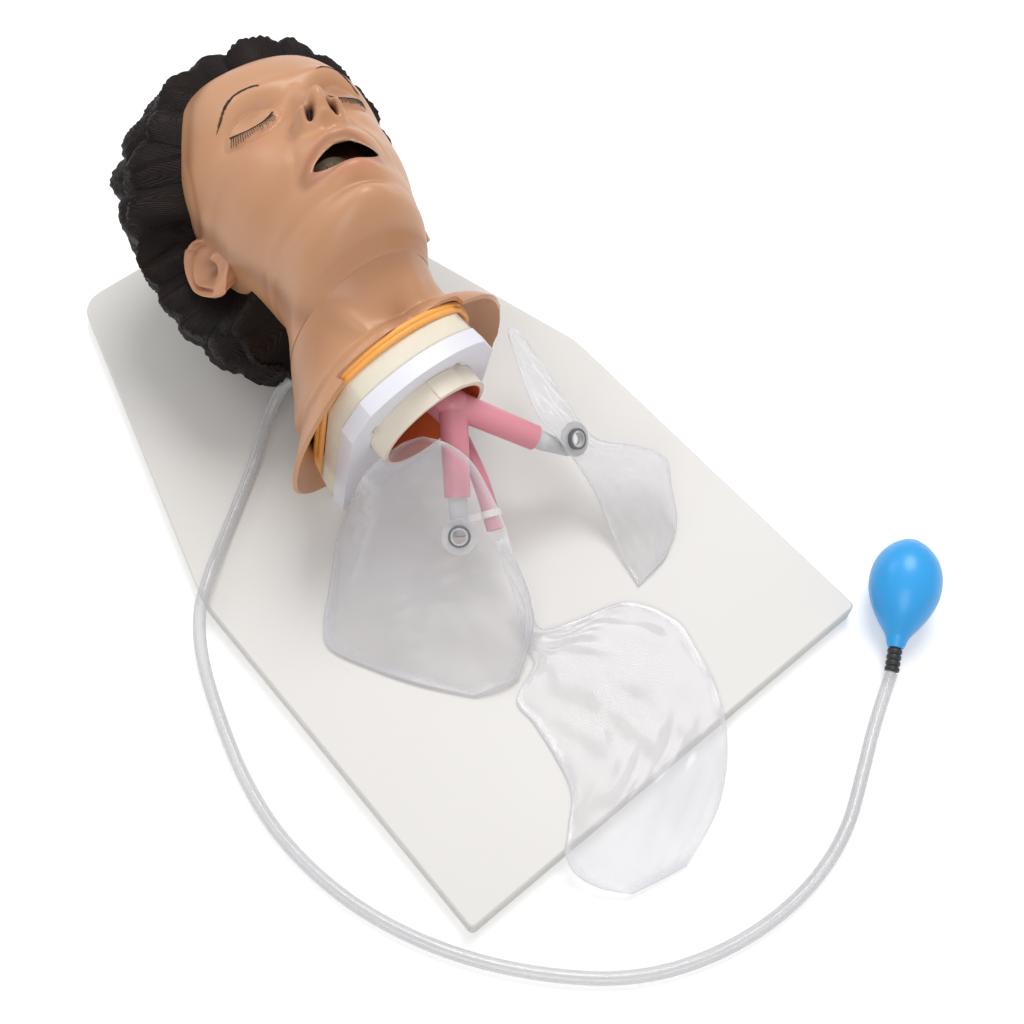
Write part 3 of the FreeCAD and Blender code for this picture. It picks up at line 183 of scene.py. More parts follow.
def turn_from(obj, centre):
    """Make an open shell's faces look away from a point inside it."""
    mesh = obj.data
    normals, centres = np.empty(len(mesh.polygons) * 3), np.empty(len(mesh.polygons) * 3)
    mesh.polygons.foreach_get("normal", normals)
    mesh.polygons.foreach_get("center", centres)
    away = centres.reshape(-1, 3) / MM - centre
    if (normals.reshape(-1, 3) * away).sum() < 0:
        flip(obj)


def shaped_grid(name, places):
    """A grid primitive whose rows and columns are moved onto an array of points in millimetres."""
    deselect()
    lines, columns = places.shape[0] - 1, places.shape[1] - 1
    bpy.ops.mesh.primitive_grid_add(x_subdivisions=columns, y_subdivisions=lines, size=2.0)
    obj = bpy.context.object
    obj.name = name
    mesh = obj.data
    mesh.name = name
    flat = np.empty(len(mesh.vertices) * 3)
    mesh.vertices.foreach_get("co", flat)
    flat = flat.reshape(-1, 3)
    column = np.rint((flat[:, 0] + 1) / 2 * columns).astype(int)
    line = np.rint((flat[:, 1] + 1) / 2 * lines).astype(int)
    mesh.vertices.foreach_set("co", (places[line, column] * MM).ravel())
    mesh.update()
    return obj


def coordinates(obj):
    flat = np.empty(len(obj.data.vertices) * 3)
    obj.data.vertices.foreach_get("co", flat)
    return flat.reshape(-1, 3) / MM


def smooth(obj, angle=None):
    make_active(obj)
    if angle is None:
        bpy.ops.object.shade_smooth()
    else:
        bpy.ops.object.shade_smooth_by_angle(angle=math.radians(angle))


def join(first, others):
    deselect()
    for other in others:
        other.select_set(True)
    first.select_set(True)
    bpy.context.view_layer.objects.active = first
    bpy.ops.object.join()


def delete_chosen(obj, chosen):
    """Delete the faces that an array of true and false picks out."""
    make_active(obj)
    bpy.ops.object.mode_set(mode="EDIT")
    bpy.ops.mesh.select_all(action="DESELECT")
    bpy.ops.object.mode_set(mode="OBJECT")
    obj.data.polygons.foreach_set("select", chosen)
    bpy.ops.object.mode_set(mode="EDIT")
    bpy.ops.mesh.select_mode(type="FACE")
    bpy.ops.mesh.delete(type="FACE")
    bpy.ops.mesh.select_mode(type="VERT")
    bpy.ops.object.mode_set(mode="OBJECT")


def delete_faces(obj, wanted):
    """Delete the faces whose centres, in millimetres, answer to wanted."""
    centres = np.empty(len(obj.data.polygons) * 3)
    obj.data.polygons.foreach_get("center", centres)
    delete_chosen(obj, wanted(centres.reshape(-1, 3) / MM).astype(bool))


def delete_hidden(obj):
    """Delete the faces all of whose corners are painted hidden."""
    values = np.empty(len(obj.data.vertices), np.float32)
    obj.data.attributes["hidden"].data.foreach_get("value", values)
    delete_chosen(obj, np.array([all(values[v] > 0.5 for v in p.vertices) for p in obj.data.polygons]))


def dress(obj, material):
    obj.data.materials.clear()
    obj.data.materials.append(material)


def dress_node(name, material):
    dress(NODES[name], material)


def finish_piece(obj, body, slot, material, *nodes):
    """Give a new piece its material and its body, and hide the nodes that it stands for; the slot is not
    used.
    """
    dress(obj, material)
    if nodes:
        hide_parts(*nodes)
    if body:
        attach(obj, body)


def paint_any(obj, name, values):
    layer = obj.data.attributes.new(name, "FLOAT", "POINT")
    layer.data.foreach_set("value", values.astype(np.float32))


def paint(obj, name, values):
    paint_any(obj, name, np.clip(values, 0, 1))


def new_curve(name, lines, radius, resolution=6, taper=None, steps=12):
    """Smooth open curves with a round section, from lines of points in millimetres."""
    data = bpy.data.curves.new(name, "CURVE")
    data.dimensions = "3D"
    data.bevel_depth = radius * MM
    data.bevel_resolution = resolution
    data.resolution_u = steps
    data.use_fill_caps = True
    for points in lines:
        add_line(data, points, taper)
    obj = bpy.data.objects.new(name, data)
    bpy.context.scene.collection.objects.link(obj)
    return obj


def as_mesh(curve):
    make_active(curve)
    bpy.ops.object.convert(target="MESH")
    return bpy.context.object


def add_line(data, points, taper):
    spline = data.splines.new("NURBS")
    spline.points.add(len(points) - 1)
    for k, (item, point) in enumerate(zip(spline.points, points)):
        item.co = (*(np.asarray(point) * MM), 1.0)
        item.radius = 1.0 if taper is None else taper[0] + (taper[1] - taper[0]) * k / (len(points) - 1)
    spline.order_u = 3
    spline.use_endpoint_u = True


def strokes(name, lines, radius, resolution=1, taper=(1.0, 0.35)):
    """Many thin tapered strokes made one mesh."""
    return as_mesh(new_curve(name, lines, radius, resolution, taper, steps=3))


def smooth_rows(rows, per_step):
    """A smooth curve through rows of numbers, per_step places to each step."""
    rows = np.asarray(rows, float)
    last = len(rows) - 1
    places = np.linspace(0, last, last * per_step + 1)
    return through(rows, places)


def through(rows, places):
    """Values on the smooth curve through the rows, at places counted in steps."""
    last = len(rows) - 1
    s = np.clip(np.asarray(places, float), 0, last - 1e-6)
    k = np.floor(s).astype(int)
    t = (s - k).reshape((-1,) + (1,) * (rows.ndim - 1))
    a, b = rows[np.clip(k - 1, 0, last)], rows[k]
    c, d = rows[np.clip(k + 1, 0, last)], rows[np.clip(k + 2, 0, last)]
    return 0.5 * (2 * b + (c - a) * t + (2 * a - 5 * b + 4 * c - d) * t ** 2
                  + (3 * b - a - 3 * c + d) * t ** 3)


def turned(name, start, along, profile, around=48):
    """A turned piece from (distance, radius) pairs along an axis."""
    along = unit(along)
    side = unit(np.cross(along, [0.0, 0.0, 1.0]))
    other = np.cross(along, side)
    turn = np.linspace(0, 2 * math.pi, around + 1)
    ring = np.cos(turn)[:, None] * side + np.sin(turn)[:, None] * other
    profile = np.asarray(profile, float)
    places = start + profile[:, 0][:, None, None] * along + profile[:, 1][:, None, None] * ring[None]
    obj = shaped_grid(name, places)
    merge_and_turn_out(obj)
    return obj


def grid_normals(places):
    across = np.gradient(places, axis=1)
    down = np.gradient(places, axis=0)
    normal = np.cross(down, across)
    size = np.linalg.norm(normal, axis=2, keepdims=True)
    return normal / np.maximum(size, 1e-9)


# Materials

MADE = {}


def new_material(name, colour, roughness, metallic=0.0):
    made = bpy.data.materials.new(name)
    made.use_nodes = True
    shader = made.node_tree.nodes["Principled BSDF"]
    shader.inputs["Base Color"].default_value = (*colour, 1.0)
    shader.inputs["Roughness"].default_value = roughness
    shader.inputs["Metallic"].default_value = metallic
    MADE[name] = made
    return made, made.node_tree.nodes, made.node_tree.links, shader


def calculate(nodes, links, operation, *values, clamp=False):
    """A Math node on sockets and plain numbers."""
    node = nodes.new("ShaderNodeMath")
    node.operation = operation
    node.use_clamp = clamp
    for place, value in zip(node.inputs, values):
        if isinstance(value, float):
            place.default_value = value
        else:
            links.new(value, place)
    return node.outputs["Value"]


def noise(nodes, links, **inputs):
    """Noise in the piece's own space."""
    place = nodes.new("ShaderNodeTexCoord")
    made = nodes.new("ShaderNodeTexNoise")
    links.new(place.outputs["Object"], made.inputs["Vector"])
    for name, value in inputs.items():
        made.inputs[name].default_value = value
    return made


def lift_surface(nodes, links, shader, height, strength, distance):
    """Fine relief from a height, on top of any that the shader has."""
    lift = nodes.new("ShaderNodeBump")
    lift.inputs["Strength"].default_value = strength
    lift.inputs["Distance"].default_value = distance
    links.new(height, lift.inputs["Height"])
    if shader.inputs["Normal"].is_linked:
        links.new(shader.inputs["Normal"].links[0].from_socket, lift.inputs["Normal"])
    links.new(lift.outputs["Normal"], shader.inputs["Normal"])


def grain_group():
    """Colour drift, roughness drift and fine relief over a moulded surface."""
    group = bpy.data.node_groups.get("Moulded grain")
    if group:
        return group
    group = bpy.data.node_groups.new("Moulded grain", "ShaderNodeTree")
    face = group.interface
    face.new_socket("Light colour", in_out="INPUT", socket_type="NodeSocketColor")
    face.new_socket("Dark colour", in_out="INPUT", socket_type="NodeSocketColor")
    for name in ("Drift scale", "Grain scale", "Grain", "Rough low", "Rough high"):
        face.new_socket(name, in_out="INPUT", socket_type="NodeSocketFloat")
    face.new_socket("Colour", in_out="OUTPUT", socket_type="NodeSocketColor")
    face.new_socket("Roughness", in_out="OUTPUT", socket_type="NodeSocketFloat")
    face.new_socket("Height", in_out="OUTPUT", socket_type="NodeSocketFloat")
    nodes, links = group.nodes, group.links
    start = nodes.new("NodeGroupInput")
    end = nodes.new("NodeGroupOutput")
    drift = noise(nodes, links, Detail=4.0)
    fine = noise(nodes, links, Detail=3.0)
    links.new(start.outputs["Drift scale"], drift.inputs["Scale"])
    links.new(start.outputs["Grain scale"], fine.inputs["Scale"])
    mix = nodes.new("ShaderNodeMix")
    mix.data_type = "RGBA"
    links.new(drift.outputs["Fac"], mix.inputs["Factor"])
    links.new(start.outputs["Light colour"], mix.inputs[6])
    links.new(start.outputs["Dark colour"], mix.inputs[7])
    links.new(mix.outputs[2], end.inputs["Colour"])
    rough = nodes.new("ShaderNodeMapRange")
    links.new(drift.outputs["Fac"], rough.inputs["Value"])
    links.new(start.outputs["Rough low"], rough.inputs["To Min"])
    links.new(start.outputs["Rough high"], rough.inputs["To Max"])
    links.new(rough.outputs["Result"], end.inputs["Roughness"])
    height = calculate(nodes, links, "MULTIPLY", fine.outputs["Fac"], start.outputs["Grain"])
    links.new(height, end.inputs["Height"])
    return group


def grained(name, light, dark, rough=(0.35, 0.5), drift=12.0, grain_scale=900.0, grain=0.3, bump=0.15,
            metallic=0.0):
    """A moulded material that uses the shared grain."""
    made, nodes, links, shader = new_material(name, light, rough[0], metallic)
    node = nodes.new("ShaderNodeGroup")
    node.node_tree = grain_group()
    node.inputs["Light colour"].default_value = (*light, 1.0)
    node.inputs["Dark colour"].default_value = (*dark, 1.0)
    node.inputs["Drift scale"].default_value = drift
    node.inputs["Grain scale"].default_value = grain_scale
    node.inputs["Grain"].default_value = grain
    node.inputs["Rough low"].default_value = rough[0]
    node.inputs["Rough high"].default_value = rough[1]
    links.new(node.outputs["Colour"], shader.inputs["Base Color"])
    links.new(node.outputs["Roughness"], shader.inputs["Roughness"])
    lift_surface(nodes, links, shader, node.outputs["Height"], bump, 0.0005)
    return made, nodes, links, shader


def tint(nodes, links, shader, mask, colour):
    """Lay a second colour over the first where a mask says so."""
    mix = nodes.new("ShaderNodeMix")
    mix.data_type = "RGBA"
    source = shader.inputs["Base Color"].links[0].from_socket
    links.new(mask, mix.inputs["Factor"])
    links.new(source, mix.inputs[6])
    mix.inputs[7].default_value = (*colour, 1.0)
    links.new(mix.outputs[2], shader.inputs["Base Color"])


def attribute_mask(nodes, name):
    read = nodes.new("ShaderNodeAttribute")
    read.attribute_name = name
    return read.outputs["Fac"]


def height_mask(nodes, links, axis, low, high):
    """A mask that rises between two places along one axis of the piece, in metres."""
    place = nodes.new("ShaderNodeTexCoord")
    split = nodes.new("ShaderNodeSeparateXYZ")
    links.new(place.outputs["Object"], split.inputs["Vector"])
    rise = nodes.new("ShaderNodeMapRange")
    rise.inputs["From Min"].default_value = low
    rise.inputs["From Max"].default_value = high
    links.new(split.outputs[axis], rise.inputs["Value"])
    return rise.outputs["Result"]


def axis_mask(nodes, links, centre, along, near, far):
    """A mask that falls from 1 to 0 between two distances from an axis, in millimetres."""
    place = nodes.new("ShaderNodeTexCoord")
    move = nodes.new("ShaderNodeVectorMath")
    move.operation = "SUBTRACT"
    move.inputs[1].default_value = tuple(np.asarray(centre) * MM)
    cross = nodes.new("ShaderNodeVectorMath")
    cross.operation = "CROSS_PRODUCT"
    cross.inputs[1].default_value = tuple(unit(along))
    length = nodes.new("ShaderNodeVectorMath")
    length.operation = "LENGTH"
    fall = nodes.new("ShaderNodeMapRange")
    fall.inputs["From Min"].default_value = near * MM
    fall.inputs["From Max"].default_value = far * MM
    fall.inputs["To Min"].default_value = 1.0
    fall.inputs["To Max"].default_value = 0.0
    links.new(place.outputs["Object"], move.inputs[0])
    links.new(move.outputs["Vector"], cross.inputs[0])
    links.new(cross.outputs["Vector"], length.inputs[0])
    links.new(length.outputs["Value"], fall.inputs["Value"])
    return fall.outputs["Result"]


def clear_film(name, colour, low, high, rough, edge=0.75, ripple=24.0, ripple_strength=0.3):
    """Soft clear plastic: cloudier in patches and where it is seen edge on."""
    made, nodes, links, shader = new_material(name, colour, rough)
    cloud = noise(nodes, links, Scale=11.0, Detail=2.0)
    fade = nodes.new("ShaderNodeMapRange")
    fade.inputs["From Min"].default_value = 0.35
    fade.inputs["From Max"].default_value = 0.65
    fade.inputs["To Min"].default_value = low
    fade.inputs["To Max"].default_value = high
    slant = nodes.new("ShaderNodeLayerWeight")
    slant.inputs["Blend"].default_value = 0.35
    links.new(cloud.outputs["Fac"], fade.inputs["Value"])
    alpha = calculate(
        nodes, links, "MULTIPLY_ADD", slant.outputs["Facing"], edge, fade.outputs["Result"], clamp=True)
    links.new(alpha, shader.inputs["Alpha"])
    wave = noise(nodes, links, Scale=ripple, Detail=1.5, Distortion=0.8)
    lift_surface(nodes, links, shader, wave.outputs["Fac"], ripple_strength, 0.003)
    shader.inputs["IOR"].default_value = 1.5
    shader.inputs["Coat Weight"].default_value = 1.0
    shader.inputs["Coat Roughness"].default_value = 0.1
    return made, nodes, links, shader


class TrainerColours(bpy.types.PropertyGroup):
    """The finishes that a user would change."""

    board: FloatVectorProperty(
        name="Board", description="Laminate of the base board", subtype="COLOR", default=(0.735, 0.715, 0.69))
    plate: FloatVectorProperty(
        name="Neck plate", description="Moulded plate at the neck", subtype="COLOR",
        default=(0.83, 0.83, 0.90))
    collar: FloatVectorProperty(
        name="Collar", description="Foam collar behind the plate", subtype="COLOR",
        default=(0.84, 0.77, 0.64))
    gasket: FloatVectorProperty(
        name="Gasket", description="Orange rim behind the collar", subtype="COLOR",
        default=(0.92, 0.34, 0.05))
    sleeve: FloatVectorProperty(
        name="Sleeve", description="Sleeve round the windpipe", subtype="COLOR", default=(0.80, 0.72, 0.60))
    skin: FloatVectorProperty(
        name="Skin", description="Vinyl of the head and neck", subtype="COLOR", default=(0.58, 0.305, 0.165))
    hair: FloatVectorProperty(
        name="Hair", description="Moulded hair", subtype="COLOR", default=(0.010, 0.006, 0.005))
    airway: FloatVectorProperty(
        name="Airway", description="Windpipe and its branches", subtype="COLOR", default=(0.78, 0.29, 0.35))
    film: FloatVectorProperty(
        name="Film", description="Clear film of the lungs and stomach", subtype="COLOR",
        default=(0.78, 0.77, 0.81))
    bulb: FloatVectorProperty(
        name="Bulb", description="Rubber of the squeeze bulb", subtype="COLOR", default=(0.03, 0.40, 0.90))


class TrainerSizes(bpy.types.PropertyGroup):
    """The sizes that a user would change."""

    tube_diameter: FloatProperty(
        name="Tube diameter", description="Outside diameter of the pulse tube", default=0.009, min=0.004,
        max=0.012, unit="LENGTH")
    hair_depth: FloatProperty(
        name="Hair depth", description="How far the hair stands off the scalp", default=0.017, min=0.008,
        max=0.02, unit="LENGTH")
    lash_length: FloatProperty(
        name="Lash length", description="Length of the eyelashes", default=0.0075, min=0.002, max=0.009,
        unit="LENGTH")
    lash_count: IntProperty(
        name="Lashes", description="Lashes on each eye", default=22, min=8, max=40)


# Head form

HEAD_SECTIONS = (
    (118, 34, 118, -44, 36, 2.0),
    (108, 60, 108, -62, 53, 2.0),
    (92, 80, 92, -77, 64, 2.1),
    (74, 92, 74, -87, 71, 2.2),
    (56, 97, 56, -93, 74, 2.2),
    (40, 99, 40, -95, 75, 2.2),
    (28, 98, 28, -95, 75, 2.2),
    (16, 92, 18, -93, 74, 2.2),
    (6, 89, 8, -91, 73, 2.2),
    (-4, 89, -1, -88, 71, 2.2),
    (-13, 90, -8, -85, 70, 2.2),
    (-22, 92, -14, -82, 69, 2.15),
    (-30, 94, -19, -79, 68, 2.1),
    (-38, 97, -24, -77, 66, 2.05),
    (-46, 99, -29, -75, 64, 2.0),
    (-54, 98, -33, -73, 62, 1.95),
    (-62, 96, -37, -71, 60, 1.9),
    (-70, 95, -41, -70, 58, 1.9),
    (-78, 93, -44, -69, 57, 1.9),
    (-86, 91, -47, -69, 55, 1.9),
    (-96, 92, -50, -70, 54, 1.9),
    (-106, 88, -53, -72, 53, 1.95),
    (-112, 74, -57, -77, 53, 2.0),
    (-111, 59, -61, -84, 54, 2.0),
    (-112, 46, -66, -94, 56, 2.0),
    (-123, 31, -72, -108, 59, 2.1),
    (-135, 20, -77, -121, 63, 2.2),
)
WIDEST = 0.52
CAP_HEIGHT = 9.0
FACE_END = 24.0
NECK_START = 23.6
NECK_SECTION = 24
CHIN_LEVEL = -110.0
NECK_X = 3.0
HEM_DEPTH = 3.0
BELL_DEPTH = 22.0
HEM_HALF = 68.0
BELL_HALF = 98.5
HEM_TOP = 172.0
HEM_BOTTOM = 6.0


def head_lines():
    """Front, back, left axis, half width and roundness of every section, crown first, hem last."""
    lines = []
    shift = np.array([(NECK_X - head_point(0, CHIN_LEVEL, 0)[0]) * 0.5, 0, 0])
    for index, (fy, fz, by, bz, half, power) in enumerate(HEAD_SECTIONS):
        blend = min(1.0, max(0.0, (index - NECK_SECTION + 5) / 8.0))
        left = unit(LEFT * (1 - blend) + np.array([1.0, 0, 0]) * blend)
        front = head_point(0, fy, fz) + shift * blend
        back = head_point(0, by, bz) + shift * blend
        lines.append(np.concatenate([front, back, left, [half, power]]))
    hem_out = GASKET_BACK - HEM_DEPTH
    for out, half in ((hem_out, HEM_HALF), (GASKET_BACK + BELL_DEPTH, BELL_HALF)):
        front = plate_point(0, HEM_TOP, out)
        back = plate_point(0, HEM_BOTTOM, out)
        lines.append(np.concatenate([front, back, [1.0, 0, 0], [half, 2.3]]))
    return np.array(lines)


HEAD_LINES = head_lines()


def head_rings(places, around, crowd):
    """Points of the plain head, ring by ring, and how far each looks to the front."""
    lines = through(HEAD_LINES, places)
    front, back, left = lines[:, 0:3], lines[:, 3:6], lines[:, 6:9]
    left = left / np.linalg.norm(left, axis=1, keepdims=True)
    half, power = lines[:, 9][:, None, None], lines[:, 10][:, None, None]
    turn = np.linspace(0, 2 * math.pi, around + 1)
    angle = math.pi + turn + crowd * np.sin(turn)
    c, s = np.cos(angle)[None, :, None], np.sin(angle)[None, :, None]
    along = np.abs(c) ** (2 / power)
    across = np.sign(s) * np.abs(s) ** (2 / power) * half
    middle = back + (front - back) * WIDEST
    reach = np.where(c > 0, (front - middle)[:, None, :], (back - middle)[:, None, :]) * along
    points = middle[:, None, :] + reach + left[:, None, :] * across
    return points, np.broadcast_to(c[..., 0], points.shape[:2])


def bell(value, centre, spread):
    return np.exp(-((value - centre) / spread) ** 2)


def eased(share):
    """A share from 0 to 1 that starts and ends gently."""
    return share * share * (3 - 2 * share)


EYE_SIDE = 31.0


def lash_height(side):
    """Height of the closed lash line across an eye."""
    return 13.5 - 6.0 * (1 - ((side - EYE_SIDE) / 14.5) ** 2)


MOUTH_CENTRE = -63.5


def mouth_edge(angle):
    """The distance of the mouth's edge from its centre, by direction."""
    c, s = np.abs(np.cos(angle)), np.sin(angle)
    high = np.where(s > 0, 8.0, 10.0)
    return ((c / 25.5) ** 1.7 + (np.abs(s) / high) ** 1.7) ** (-1 / 1.7)


def face_relief(x, y):
    """How far the features stand forward of the plain head, in millimetres."""
    side = np.abs(x)
    tip, root, base = -18.0, 26.0, -30.0
    above = np.clip(1 - (y - tip) / (root - tip), 0, 1) ** 1.1
    under_tip = np.clip((tip - y) / (tip - base), 0, 1)
    past_base = np.clip((base - y) / 4.5, 0, 5)
    below = (1 - 0.42 * under_tip ** 2) * np.exp(-past_base ** 2)
    rise = np.where(y >= tip, above, below)
    ridge = 26.5 * rise * bell(x, 0, 6.5 + 5.0 * np.clip(above, 0, 1) * (y >= tip) + 5.0 * (y < tip))
    ball = 1.6 * bell(x, 0, 8) * bell(y, -17, 6)
    wings = 12.0 * bell(side, 13.5, 4.6) * bell(y, -24.0, 6.0)
    wing_crease = -2.2 * bell(side, 20.5, 2.4) * bell(y, -24, 8)
    muzzle = 3.5 * bell(x, 0, 28) * bell(y, -58, 26)
    sockets = -8.5 * bell(side, 29, 15) * bell(y, 16, 11)
    globe_x, globe_y = (side - EYE_SIDE) / 18, (y - 11) / 12
    globe = 7.5 * np.sqrt(np.clip(1 - globe_x ** 2 - globe_y ** 2, 0, 1))
    in_eye = np.clip(1 - ((side - EYE_SIDE) / 16) ** 4, 0, 1)
    line = lash_height(side)
    seam = -1.5 * bell(y, line, 1.4) * in_eye
    fold = -1.2 * bell(y, 23.0 - 5.0 * ((side - 30) / 16) ** 2, 1.8) * in_eye
    under = -0.9 * bell(y, line - 8.5, 2.4) * in_eye
    brows = 3.2 * bell(side, 28, 24) * bell(y, 31, 8)
    cheeks = 4.5 * bell(side, 42, 16) * bell(y, -14, 18)
    hollow = -2.2 * bell(side, 41, 12) * bell(y, -52, 16)
    laugh = (side - 22) + (y + 27) * 0.36
    laugh_line = -1.5 * bell(laugh, 0, 2.8) * bell(y, -44, 14)
    groove = -1.0 * bell(x, 0, 2.6) * bell(y, -40, 6) + 0.7 * bell(side, 5.5, 2.4) * bell(y, -41, 7)
    lips = 5.4 * bell(x, 0, 19) * (bell(y, -50.5, 5.2) + 1.1 * bell(y, -78.5, 6.2))
    lip_edge = -1.0 * bell(x, 0, 16) * (bell(y, -44.5, 1.6) + bell(y, -86.5, 1.8))
    corners = -2.0 * bell(side, 30, 4.5) * bell(y, -64, 6)
    fold_chin = -2.4 * bell(x, 0, 17) * bell(y, -89, 4.2)
    chin = 5.0 * bell(x, 0, 17) * bell(y, -101, 9)
    temple = -2.5 * bell(side, 66, 12) * bell(y, 34, 22)
    return (ridge + ball + wings + muzzle + wing_crease + sockets + globe + seam + fold + under + brows
            + cheeks + hollow + laugh_line + groove + lips + lip_edge + corners + fold_chin + chin + temple)


def with_features(points, facing):
    """Lift the face, sink the nostrils and open the mouth."""
    x, y, z = in_head_axes(points)
    share = np.clip(facing * 2.5, 0, 1)
    lift = face_relief(x, y) * share
    oval = np.hypot((np.abs(x) - 7.6 + 0.25 * (y + 26.0)) / 3.6, (y + 26.5) / 4.6)
    pit = eased(np.clip(1.25 - oval, 0, 1) * share)
    up = 2.0 * pit
    ahead = lift - 8.0 * pit
    angle = np.arctan2(y - MOUTH_CENTRE, x)
    distance, edge = np.hypot(x, y - MOUTH_CENTRE), mouth_edge(angle)
    inside = np.clip((edge - distance) / edge, 0, 1) * (facing > 0)
    curl = np.clip(inside / 0.3, 0, 1)
    reach = np.where(inside > 0, edge * (1 - 0.09 * np.sin(curl * math.pi / 2)), distance)
    depth = 3.2 * (1 - np.cos(curl * math.pi / 2)) + 22.0 * np.clip(inside - 0.22, 0, 0.3)
    new_x = np.where(inside > 0, reach * np.cos(angle), x)
    new_y = np.where(inside > 0, MOUTH_CENTRE + reach * np.sin(angle), y)
    moved = points + np.multiply.outer(new_x - x, LEFT) + np.multiply.outer(new_y - y + up, CROWN)
    moved = moved + np.multiply.outer(ahead - depth, FORWARD)
    upper = inside * (np.sin(angle) > 0)
    return moved + nudge(x, y, z), inside, pit, upper


# Where the set of the face leaves the plain form: side, height, and shifts across and up the view
FACE_SHIFTS = (
    (0, -20, 0.5, 5.0), (-17, -26, 1.5, 5.5), (-17, 14, -3.0, 0.0), (-45, 13, -4.5, -4.0),
    (17, 14, 4.5, 8.5), (45, 13, -3.0, 9.5), (-25, -62, 5.0, 2.5), (25, -62, 1.0, 5.0),
    (0, -52, 3.0, 1.5), (0, -78, 2.5, 2.5), (0, -104, 0.0, 0.0), (0, 32, 3.0, 4.0),
    (0, 85, 6.0, 4.0), (-70, 20, -9.0, 2.0), (-60, 60, -9.0, 6.0), (-66, -20, -4.0, 0.0),
    (66, 30, -5.0, 6.0), (60, -30, -4.0, 5.0), (55, -80, -2.0, 2.0), (-50, -80, 0.0, 0.0),
)
SHIFT_SPREAD = 21.0
ACROSS_VIEW = np.array([0.7625, -0.6463, 0.0257])
UP_VIEW = np.array([0.5540, 0.6730, 0.4902])


def nudge(x, y, z):
    """The smooth shift of a place on the face, in millimetres of the row frame."""
    x, y, z = np.asarray(x, float), np.asarray(y, float), np.asarray(z, float)
    total = 0.35
    across, up = 0.0, 0.0
    for side, height, move_across, move_up in FACE_SHIFTS:
        weight = np.exp(-((x - side) ** 2 + (y - height) ** 2) / (2 * SHIFT_SPREAD ** 2))
        total = total + weight
        across = across + weight * move_across
        up = up + weight * move_up
    ahead = np.clip((z + 20.0) / 50.0, 0, 1)
    chin = np.clip((y + 112.0) / 20.0, 0, 1)
    share = eased(ahead) * chin / total
    return np.multiply.outer(across * share, ACROSS_VIEW) + np.multiply.outer(up * share, UP_VIEW)


def face_places():
    """Where the rings of the face run, closest over the eyes, nose and mouth."""
    spans = ((0.0, 5.0, 4), (5.0, 9.0, 11), (9.0, 21.0, 8), (21.0, FACE_END, 6))
    places = []
    for start, end, dense in spans:
        count = int(round((end - start) * dense))
        places.extend(np.linspace(start, end, count, endpoint=False))
    places.append(FACE_END)
    return np.array(places)


def crown_cap(ring):
    """Rings that close the crown above the first section."""
    middle = ring.mean(axis=0)
    return np.array([middle + (ring - middle) * share + CROWN * (CAP_HEIGHT * (1 - share ** 2))
                     for share in (0.0, 0.35, 0.7)])


def skin_material(colours):
    skin = tuple(colours.skin)
    dark = tuple(v * w for v, w in zip(skin, (0.90, 0.84, 0.80)))
    made, nodes, links, shader = grained(
        "skin_vinyl", skin, dark, rough=(0.36, 0.46), drift=14.0, grain_scale=1500.0, grain=0.25, bump=0.10)
    tint(nodes, links, shader, attribute_mask(nodes, "blush"), (0.55, 0.20, 0.13))
    # painted shade: the shade mask darkens creases, hollows, the ear bowls, the hairline and the throat
    tint(nodes, links, shader, attribute_mask(nodes, "shade"), (0.16, 0.055, 0.03))
    # painted shade, near black, inside the mouth and in the nostrils
    tint(nodes, links, shader, attribute_mask(nodes, "recess_shade"), (0.018, 0.004, 0.003))
    tint(nodes, links, shader, attribute_mask(nodes, "rim"), (0.72, 0.50, 0.28))
    shader.inputs["Coat Weight"].default_value = 0.08
    shader.inputs["Coat Roughness"].default_value = 0.28
    return made


def ear_form(side, stand):
    """One ear: bowl, inner ridge, outer rim, lobe and the back that runs into the head."""
    around, lines = 96, 40
    turn = np.linspace(0, 2 * math.pi, around + 1)[None, :]
    share = np.concatenate([np.linspace(0.02, 1.0, lines), np.linspace(1.0, 0.4, 12)[1:]])[:, None]
    skirt = np.concatenate([np.zeros(lines), np.linspace(0, 1, 12)[1:]])[:, None]
    sin, cos = np.sin(turn), np.cos(turn)
    lobe = np.where(sin < 0, 1 - 0.36 * (-sin) ** 1.2, 1.0)
    up = 31.5 * sin * share + 2.0 * share * (cos < 0) * sin
    along = 17.5 * cos * share * lobe - 2.5 * sin * share
    flare = 70.5 + stand * ((1 - along / 17.5) / 2) ** 0.85
    back = np.clip(-cos + 0.9 * sin + 0.55, 0, 1)
    rim = 3.6 * bell(share, 0.90, 0.085) * np.clip(back + 0.25 * (sin > 0.3), 0, 1)
    groove = -2.4 * bell(share, 0.76, 0.07) * back
    ridge = 3.4 * bell(share, 0.60, 0.09) * np.clip(-cos + 0.35, 0, 1) * np.clip(1.2 - np.abs(sin), 0, 1)
    bowl = -9.5 * bell(along, 1.0, 6.0) * bell(up, -1.5, 10.0)
    tragus = 4.5 * bell(along, 11.0, 3.0) * bell(up, -4.0, 4.5)
    lump = 2.6 * bell(along, -1.5, 8.0) * bell(up, -25.0, 6.5)
    out = flare + rim + groove + ridge + bowl + tragus + lump
    edge_out = out[lines - 1:lines, :]
    front = np.clip((along - 4.0) / 12.0, 0, 1) * np.clip((26.0 - np.abs(up)) / 10.0, 0, 1)
    out = out - 5.0 * front * np.clip((share - 0.55) / 0.45, 0, 1)
    edge_out = edge_out - 5.0 * front[lines - 1:lines, :]
    out = np.where(skirt > 0, edge_out - 0.8 - 24.0 * skirt, out - 1.8 * np.clip((share - 0.94) / 0.06, 0, 1))
    points = (HEAD_CENTRE + np.multiply.outer(side * out, LEFT)
              + np.multiply.outer(up - 4.0, CROWN) + np.multiply.outer(along - 8.0, FORWARD))
    # how deep the bowl and groove sink, painted as shade
    depth = np.clip(-(groove + bowl) / 7.0, 0, 1) * (skirt == 0)
    return points, depth


